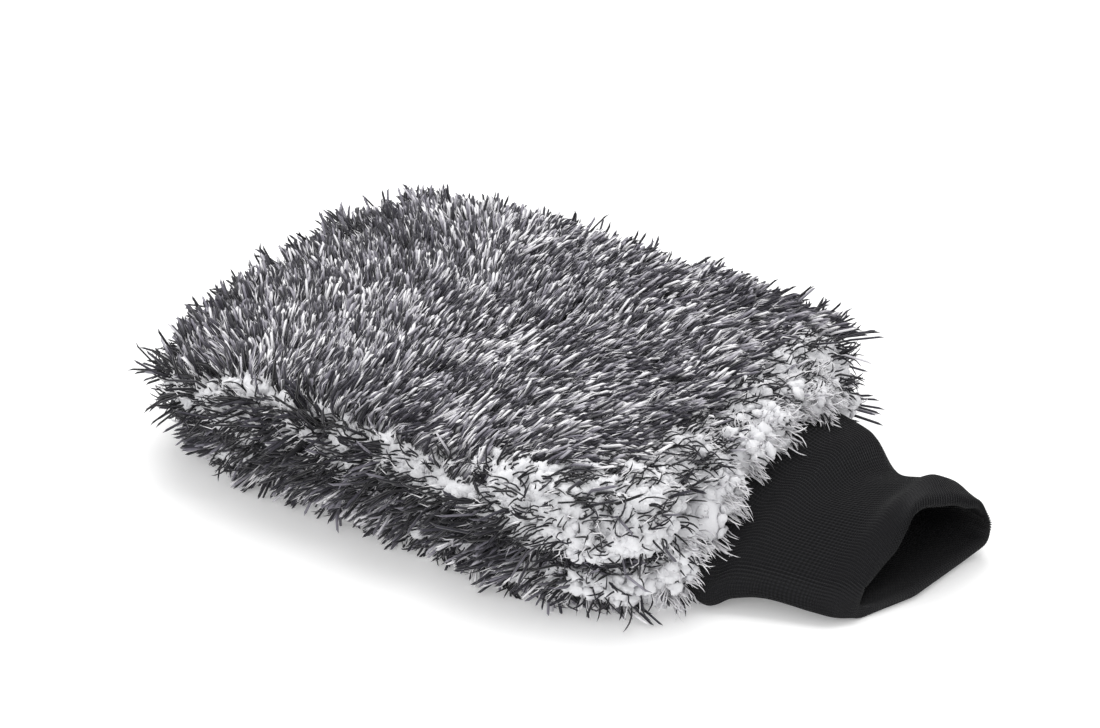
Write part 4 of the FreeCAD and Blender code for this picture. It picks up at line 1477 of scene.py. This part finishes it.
@dataclass
class RibCuff:
    """A tube of rib knit folded double at its mouth, slumped on the ground and squeezed at its waist."""

    sections: tuple[CuffSection, ...] = (
        CuffSection(5.0, ((86, -60, 11), (86, 0, 10), (86, 60, 13), (87, 62, 26), (87, 52, 38),
                          (86, 20, 41), (86, -20, 36), (86, -52, 26), (86, -62, 18))),
        CuffSection(4.5, ((103, -62, 1.5), (104, 0, 7), (107, 57, 8), (109, 62, 20), (109, 53, 32),
                          (107, 26, 37), (103, -12, 33), (101, -46, 20), (101, -63, 9))),
        CuffSection(4.5, ((112, -57, 5), (114, 0, 6), (117, 54, 6), (118, 60, 16), (118, 51, 29.5),
                          (116, 27, 35), (112, -10, 32), (110, -42, 21), (110, -57, 11))),
        CuffSection(4.5, ((124, -51, 6.5), (126, 0, 4), (130, 48, 4), (131, 54, 12), (130, 43, 21),
                          (128, 21, 27.5), (124, -10, 28.5), (122, -37, 21), (122, -52, 12))),
        CuffSection(4.0, ((142, -45, 4), (145, 0, 1), (148, 46, 1), (150, 51, 9), (149, 41, 25),
                          (146, 24, 32), (142, -4, 29), (140, -32, 18), (140, -46, 9))),
        CuffSection(3.5, ((150, -41, 2.5), (157, -4, 0.9), (161, 34, 1), (163, 46, 8), (161, 41, 27),
                          (157, 24, 38.5), (152, 2, 36), (148, -24, 19), (148, -42, 8))),
        CuffSection(1.8, ((156, -32, 0.8), (166, -8, 0.8), (171, 25, 0.8), (175, 37, 3.5),
                          (177, 40, 14), (174, 35, 26), (168, 22, 35), (162, 7, 39.5), (160, 1, 38.5),
                          (158, -4, 31), (156, -13, 21), (155, -25, 13), (154, -34, 8.5),
                          (153.5, -37, 4))),
    )
    around: int = 720
    along: int = 64
    wall: float = 3.4 * MM
    lip_wall: float = 5.4 * MM
    ribs: int = 144
    rib_height: float = 0.46 * MM
    rib_pitch_mm: float = 1.7
    loop_length_mm: float = 1.1
    cloth_length: float = 170 * MM
    edge_reach: float = 9 * MM
    least_height: float = 0.15 * MM
    fold_steps: int = 8
    root_x: float = 92 * MM
    free_x: float = 118 * MM
    joint_z: float = 26 * MM
    seam_place: float = 0.335
    float_pitch: float = 2.6 * MM
    float_half: float = 1.5 * MM
    float_radius: float = 0.28 * MM

    def outer_surface(self) -> np.ndarray:
        """The outer ply, from root to lip: section outlines joined along the cuff by Catmull-Rom curves."""
        rings = np.stack([section.outline(self.around) for section in self.sections])
        return resample(rings, self.along, 0)

    def inward(self, surface: np.ndarray) -> np.ndarray:
        """Unit vectors from each point towards the middle line of its section.

        Args:
            surface: Rings of points, shaped (rings, around, 3).

        Returns:
            Vectors to the nearest point of a line across the section, which stops short of its two edges,
            as long as the wall is thick, or less where the cuff is too flat to hold it.
        """
        y, z = surface[..., 1], surface[..., 2]
        mid_y, mid_z = y.mean(1, keepdims=True), z.mean(1, keepdims=True)
        slope = ((y - mid_y) * (z - mid_z)).mean(1) / ((y - mid_y) ** 2).mean(1)
        reach = (y.max(1) - y.min(1)) / 2 - self.edge_reach
        near = np.clip(y - mid_y, -reach[:, None], reach[:, None])
        target = surface.copy()
        target[..., 1] = mid_y + near
        target[..., 2] = mid_z + slope[:, None] * near
        gap = target - surface
        gap[..., 0] = 0.0
        far = np.linalg.norm(gap, axis=-1, keepdims=True)
        wall = self.wall + (self.lip_wall - self.wall) * ease(0.7, 1.0, np.linspace(0, 1, len(surface)))
        return gap / np.maximum(far, 1e-9) * np.minimum(wall[:, None, None], 0.42 * far)

    def build(self) -> list[bpy.types.Object]:
        """Build the folded cuff and the thread floats of its closing seam."""
        finish = KnitCloth("rib_knit_cotton_polyester", "#1b1b1e", "#040405", self.rib_pitch_mm,
                           self.loop_length_mm, sheen=0.08, depth_mm=0.3)
        thread = GrainedFinish("cuff_seam_thread", "#4c4c52", "#1c1c1f", 0.35, roughness=0.6).material()
        outer = self.outer_surface()
        inward = self.inward(outer)
        rib = self.rib_height * np.cos(2 * math.pi * self.ribs * np.arange(self.around) / self.around)
        ridge = rib[None, :, None] * unit(inward)
        inner = outer + inward
        tangent = unit(outer[-1] - outer[-3])
        lip_centre = (outer[-1] + inner[-1]) / 2
        outwards = (outer[-1] - inner[-1]) / 2
        radius = np.linalg.norm(outwards, axis=-1, keepdims=True)
        angle = np.linspace(0, math.pi, self.fold_steps + 2)[1:-1, None, None]
        lip = lip_centre + outwards * np.cos(angle) + tangent * radius * np.sin(angle)
        lip_ridge = -rib[None, :, None] * unit(outwards * np.cos(angle) + tangent * radius * np.sin(angle))
        rings = np.concatenate([outer + ridge, lip + lip_ridge, (inner - ridge)[::-1]])
        rows = len(rings)
        points = rings.reshape(-1, 3)
        points[:, 2] = np.maximum(points[:, 2], self.least_height)
        quads = grid_quads(rows, self.around, wrap_rows=True, wrap_columns=True)
        piece = make_piece("rib_cuff_folded", points, [quads], maps=self.maps(quads, rows))
        piece.data.materials.append(finish.material())
        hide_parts("rib_cuff")
        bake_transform(piece)
        floats = self.seam_floats(outer, inward)
        floats.data.materials.append(thread)
        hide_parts("cuff_closing_stitches")
        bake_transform(floats)
        return [piece, floats]

    def maps(self, quads: np.ndarray, rows: int) -> dict[str, np.ndarray]:
        """The bake map and the flat map: around the tube across, and along the folded cloth up.

        Args:
            quads: The mesh's quads, whose rows and columns both wrap.
            rows: How many rings the mesh has.

        Returns:
            Both maps, by name, with the last column's far side at 1 instead of back at 0.
        """
        share = wrapped_share(quads, rows, self.around)
        flat_size = np.array([self.ribs * self.rib_pitch_mm * MM, self.cloth_length])
        return {BAKE_MAP: 0.004 + 0.992 * share, CLOTH_MAP: share * flat_size}

    def seam_floats(self, outer: np.ndarray, inward: np.ndarray) -> bpy.types.Object:
        """Thread floats down the closing seam: small zigzag bars that lie on the ribs.

        Args:
            outer: The outer surface's rings.
            inward: Its inward vectors.

        Returns:
            The piece: one bar with rounded ends for each float.
        """
        column = round(self.seam_place * self.around)
        line = outer[8:-2, column]
        out = -unit(inward[8:-2, column])
        step = np.linalg.norm(np.diff(line, axis=0), axis=1)
        length = np.concatenate([[0], np.cumsum(step)])
        count = int(length[-1] / self.float_pitch)
        place = np.linspace(0, length[-1], count)
        centre, lift, ahead = (
            np.stack([np.interp(place, length, values[:, axis]) for axis in range(3)], axis=-1)
            for values in (line, out, np.gradient(line, axis=0)))
        ahead, lift = unit(ahead), unit(lift)
        across = np.cross(ahead, lift)
        zigzag = np.where(np.arange(count) % 2, 1.0, -1.0)[:, None]
        run = unit(ahead + 0.55 * zigzag * across)
        turn = np.cross(run, lift)
        rings, spokes = 7, 6
        t = np.linspace(-1, 1, rings)
        turned = 2 * math.pi * np.arange(spokes) / spokes
        thick = (self.float_radius * np.sqrt(np.clip(1.02 - t ** 4, 0, 1)))[None, :, None, None]
        sine, cosine = np.sin(turned)[None, None, :, None], np.cos(turned)[None, None, :, None]
        bars = (centre[:, None, None] + lift[:, None, None] * (0.35 * MM + thick * sine)
                + run[:, None, None] * (t * self.float_half)[None, :, None, None]
                + turn[:, None, None] * thick * cosine)
        quads = grid_quads(rings, spokes, wrap_columns=True)[:, ::-1]
        first, last = np.arange(spokes), np.arange(spokes) + (rings - 1) * spokes
        ends = np.stack([first, last[::-1]])
        base = (np.arange(count) * rings * spokes)[:, None, None]
        return make_piece("cuff_closing_seam_floats", bars.reshape(-1, 3),
                          [(base + quads).reshape(-1, 4), (base + ends).reshape(-1, 6)])


# ---------------------------------------------------------------------------------------------------------
# The fluffy roll round the cuff's root
# ---------------------------------------------------------------------------------------------------------
@dataclass
class ThroatFringe:
    """A roll of undercoat puffs round the cuff's root, with wisps that fall forward over the cuff."""

    cuff: RibCuff
    pile_finish: bpy.types.Material
    coat_finish: bpy.types.Material
    generator: np.random.Generator = field(default_factory=lambda: np.random.default_rng(8117))
    around: int = 440
    across: int = 34
    middle_x: float = 86.5 * MM
    offset: float = 4.5 * MM
    radius: float = 6.5 * MM
    length: float = 7.5 * MM
    pitch: float = 5.2 * MM
    puff_height: float = 2.6 * MM
    balls: int = 520
    ragged: float = 3.0 * MM
    ball_radius: tuple[float, float] = (1.6 * MM, 3.8 * MM)
    wisps: int = 5600
    lock_size: int = 14
    wisp_length: tuple[float, float] = (5 * MM, 12 * MM)
    least_height: float = 2.0 * MM

    def roll(self) -> tuple[np.ndarray, np.ndarray]:
        """The plain roll: an ellipse carried round the cuff's outline, just outside it.

        Returns:
            Its points and unit normals, shaped (around, across, 3).
        """
        near, far = (section.outline(self.around) for section in self.cuff.sections[:2])
        line = 0.5 * (near + far)
        line[:, 0] = self.middle_x
        ahead = np.roll(line, -1, axis=0) - np.roll(line, 1, axis=0)
        out = unit(np.cross(ahead, np.array([1.0, 0.0, 0.0])))
        out = out * np.sign((out * (line - line.mean(0))).sum())
        step = np.arange(self.around)[:, None] / self.around
        phases = self.generator.random(7) * 2 * math.pi
        waves = [np.sin(2 * math.pi * number * step + phase)
                 for number, phase in zip(range(3, 17, 2), phases)]
        wave = sum(waves) / 2.6
        line = line + out * (self.offset + 0.5 * self.ragged * wave)
        line[:, 0] += (self.ragged * np.roll(wave, self.around // 5))[:, 0]
        angle = 2 * math.pi * np.arange(self.across) / self.across
        cosine, sine = np.cos(angle)[None, :, None], np.sin(angle)[None, :, None]
        forward = np.array([1.0, 0.0, 0.0])
        points = line[:, None] + out[:, None] * self.radius * cosine + forward * self.length * sine
        return points, unit(out[:, None] * cosine / self.radius + forward * sine / self.length)

    def build(self) -> list[bpy.types.Object]:
        """Build the roll and its wisps, riding on the mitt's body."""
        plain, normals = self.roll()
        flat = plain.reshape(-1, 3)
        length = np.linalg.norm(plain[:, 0] - np.roll(plain[:, 0], 1, axis=0), axis=-1).sum()
        count = int(length / self.pitch * 2 * math.pi * self.radius / self.pitch * 1.25)
        centres = flat[self.generator.choice(len(flat), count, replace=False)]
        away = np.sqrt(((flat[:, None] - centres[None]) ** 2).sum(-1)).min(1)
        puff = np.sqrt(np.clip(1 - (away / (0.8 * self.pitch)) ** 2, 0, 1)).reshape(self.around, self.across)
        points = plain + normals * (puff * self.puff_height)[..., None]
        points[..., 2] = settle(points[..., 2], self.least_height)
        quads = grid_quads(self.around, self.across, wrap_rows=True, wrap_columns=True)
        if (grid_normals(points, wrapped=True) * normals).sum() < 0:
            quads = quads[:, ::-1]
        share = wrapped_share(quads, self.around, self.across)
        # the puff profile also colours the roll, as painted shade in the gaps between its puffs
        roll = make_piece("throat_fringe_puffs", points.reshape(-1, 3), [quads], {"puff": puff.ravel()},
                          {BAKE_MAP: 0.004 + 0.992 * share})
        dress(roll, self.coat_finish, Body.MITT)
        points, normals = points.reshape(-1, 3), normals.reshape(-1, 3)
        chosen = self.generator.choice(len(points), self.balls, replace=False)
        chosen = chosen[normals[chosen, 0] > -0.5]
        radius = self.generator.uniform(*self.ball_radius, len(chosen))
        place = points[chosen] + normals[chosen] * 0.35 * radius[:, None]
        balls = Puffs(place, normals[chosen], radius, self.generator).piece("throat_fringe_loose_puffs")
        dress(balls, self.coat_finish, Body.MITT)
        return [roll, balls, self.wisp_piece(points, normals)]

    def wisp_piece(self, points: np.ndarray, normals: np.ndarray) -> bpy.types.Object:
        """Curled wisps on the roll, white but for a few dark ones, in locks that lean forward over the cuff.

        Args:
            points: The roll's points.
            normals: Its unit normals there.

        Returns:
            The piece.
        """
        generator, size = self.generator, self.lock_size
        lock = generator.choice(len(points), self.wisps // size)
        start = np.repeat(lock, size)
        count = len(start)
        spread = generator.normal(0, 1.6 * MM, (count, 3))
        root, normal = points[start] + spread - normals[start] * 1.5 * MM, normals[start]
        outside = (normal[:, 0] > -0.6) & ((normal[:, 0] > 0.35) | (generator.random(count) < 0.6))
        lean = np.repeat(generator.normal(0, 0.35, (len(lock), 3)), size, axis=0)
        forward = np.array([0.35, 0.0, 0.0])
        heading = unit(normal + lean + forward + generator.normal(0, 0.16, (count, 3)))
        lock_reach = generator.uniform(*self.wisp_length, len(lock))
        reach = np.repeat(lock_reach, size) * generator.uniform(0.75, 1.1, count)
        sideways = unit(np.cross(heading, generator.normal(size=(count, 3)))) * (0.3 * reach)[:, None]
        middle = root + heading * 0.5 * reach[:, None] + sideways
        tip = root + heading * reach[:, None] - 0.3 * sideways
        tip[:, 2] -= 0.25 * reach
        dark = np.repeat(generator.random(len(lock)) < 0.26, size) & (generator.random(count) < 0.4)
        tone = np.clip(np.where(dark, 0.1, generator.normal(0.93, 0.06, count)), 0, 1)
        width = np.where(dark, 0.9 * MM, generator.uniform(0.4 * MM, 0.75 * MM, count))
        strands = Strands(root, middle, tip, width, tone, np.zeros(count), (0.0, 0.3, 0.6, 0.85),
                          (0.8, 1.0, 0.95, 0.7))
        piece = strands.take(outside).piece("throat_fringe_wisps")
        return dress(piece, self.pile_finish, Body.MITT)


# ---------------------------------------------------------------------------------------------------------
# Floor, light and camera
# ---------------------------------------------------------------------------------------------------------
@dataclass
class Studio:
    """A pale sweep under broad soft light, seen from the near cuff corner."""

    target: tuple[float, float, float] = (-0.0314, 0.0302, 0.025)
    azimuth: float = 34.074
    elevation: float = 30.079
    distance: float = 1.1065
    lens: float = 82.34
    sky: float = 0.8
    # how brightly the floor glows, as painted light that lifts its shadows
    floor_glow: float = 0.18
    floor_half: float = 6.0
    floor_points: int = 25
    tone_pitch: float = 1 / 3

    def build(self) -> None:
        """Make the floor, the lights, the sky and the camera."""
        self.floor()
        self.light("overhead_softbox", (-0.35, 0.55, 1.5), 1.3, 18.0)
        self.light("front_fill", (0.1, -1.5, 0.8), 1.2, 6.0)
        world = bpy.data.worlds.new("studio_air")
        world.use_nodes = True
        background = world.node_tree.nodes["Background"]
        background.inputs["Color"].default_value = linear("#ffffff")
        background.inputs["Strength"].default_value = self.sky
        bpy.context.scene.world = world
        bpy.context.scene.view_settings.view_transform = "Standard"
        self.camera()

    def floor(self) -> None:
        """A level painted board, a little uneven in tone, which glows faintly as painted light to lift the
        shadows on it.
        """
        line = np.linspace(-self.floor_half, self.floor_half, self.floor_points)
        x, y = np.meshgrid(line, line, indexing="ij")
        points = np.stack([x, y, np.zeros_like(x)], axis=-1).reshape(-1, 3)
        piece = make_piece("studio_floor", points, [grid_quads(self.floor_points, self.floor_points)])
        material, tree = new_material("matt_white_board")
        tone = noise(tree, self.tone_pitch, 2.0)
        colour = colour_ramp(tree, tone, {0.3: "#f3f3f3", 0.7: "#f6f6f6"})
        # painted light: the board glows a little, which lightens the shadows on it
        principled(tree, colour, 0.7, 0.2, Emission_Color=linear("#ffffff"),
                   Emission_Strength=self.floor_glow)
        piece.data.materials.append(material)

    def light(self, name: str, place: tuple[float, float, float], width: float, power: float) -> None:
        """A square area light aimed at the mitt.

        Args:
            name: The lamp's name.
            place: Where it stands.
            width: The length of its sides.
            power: Its power in watts.
        """
        data = bpy.data.lights.new(name, "AREA")
        data.size, data.energy = width, power
        lamp = bpy.data.objects.new(name, data)
        lamp.location = place
        lamp.rotation_euler = (Vector(self.target) - Vector(place)).to_track_quat("-Z", "Y").to_euler()
        bpy.context.scene.collection.objects.link(lamp)

    def camera(self) -> None:
        """The camera stands back from the target along its azimuth and elevation."""
        turn, tilt = math.radians(self.azimuth), math.radians(self.elevation)
        back = Vector((math.sin(turn) * math.cos(tilt), -math.cos(turn) * math.cos(tilt), math.sin(tilt)))
        data = bpy.data.cameras.new("camera")
        data.lens, data.sensor_width = self.lens, 36.0
        data.clip_start, data.clip_end = 0.05, 50.0
        eye = bpy.data.objects.new("camera", data)
        eye.location = Vector(self.target) + back * self.distance
        eye.rotation_euler = back.to_track_quat("Z", "Y").to_euler()
        bpy.context.scene.collection.objects.link(eye)
        bpy.context.scene.camera = eye


def main() -> None:
    """Build the studio and every sub-assembly of the mitt."""
    logging.basicConfig(level=logging.INFO, format="%(name)s: %(message)s")
    Studio().build()
    undercoat = LayerForm.around("undercoat", groove=9 * MM, crown=2.5 * MM, tuck=6 * MM)
    cuff = RibCuff()
    pile, coat = MicrofibrePile().material(), CurlyUndercoat().material()
    panels = PlushPanels(PaddedBody(undercoat), pile, coat)
    for assembly in (InnerLayers(), panels, cuff, ThroatFringe(cuff, pile, coat)):
        for piece in assembly.build():
            log.info("%s: %d faces", piece.name, len(piece.data.polygons))
    bpy.context.view_layer.update()


if __name__ == "__main__":
    main()
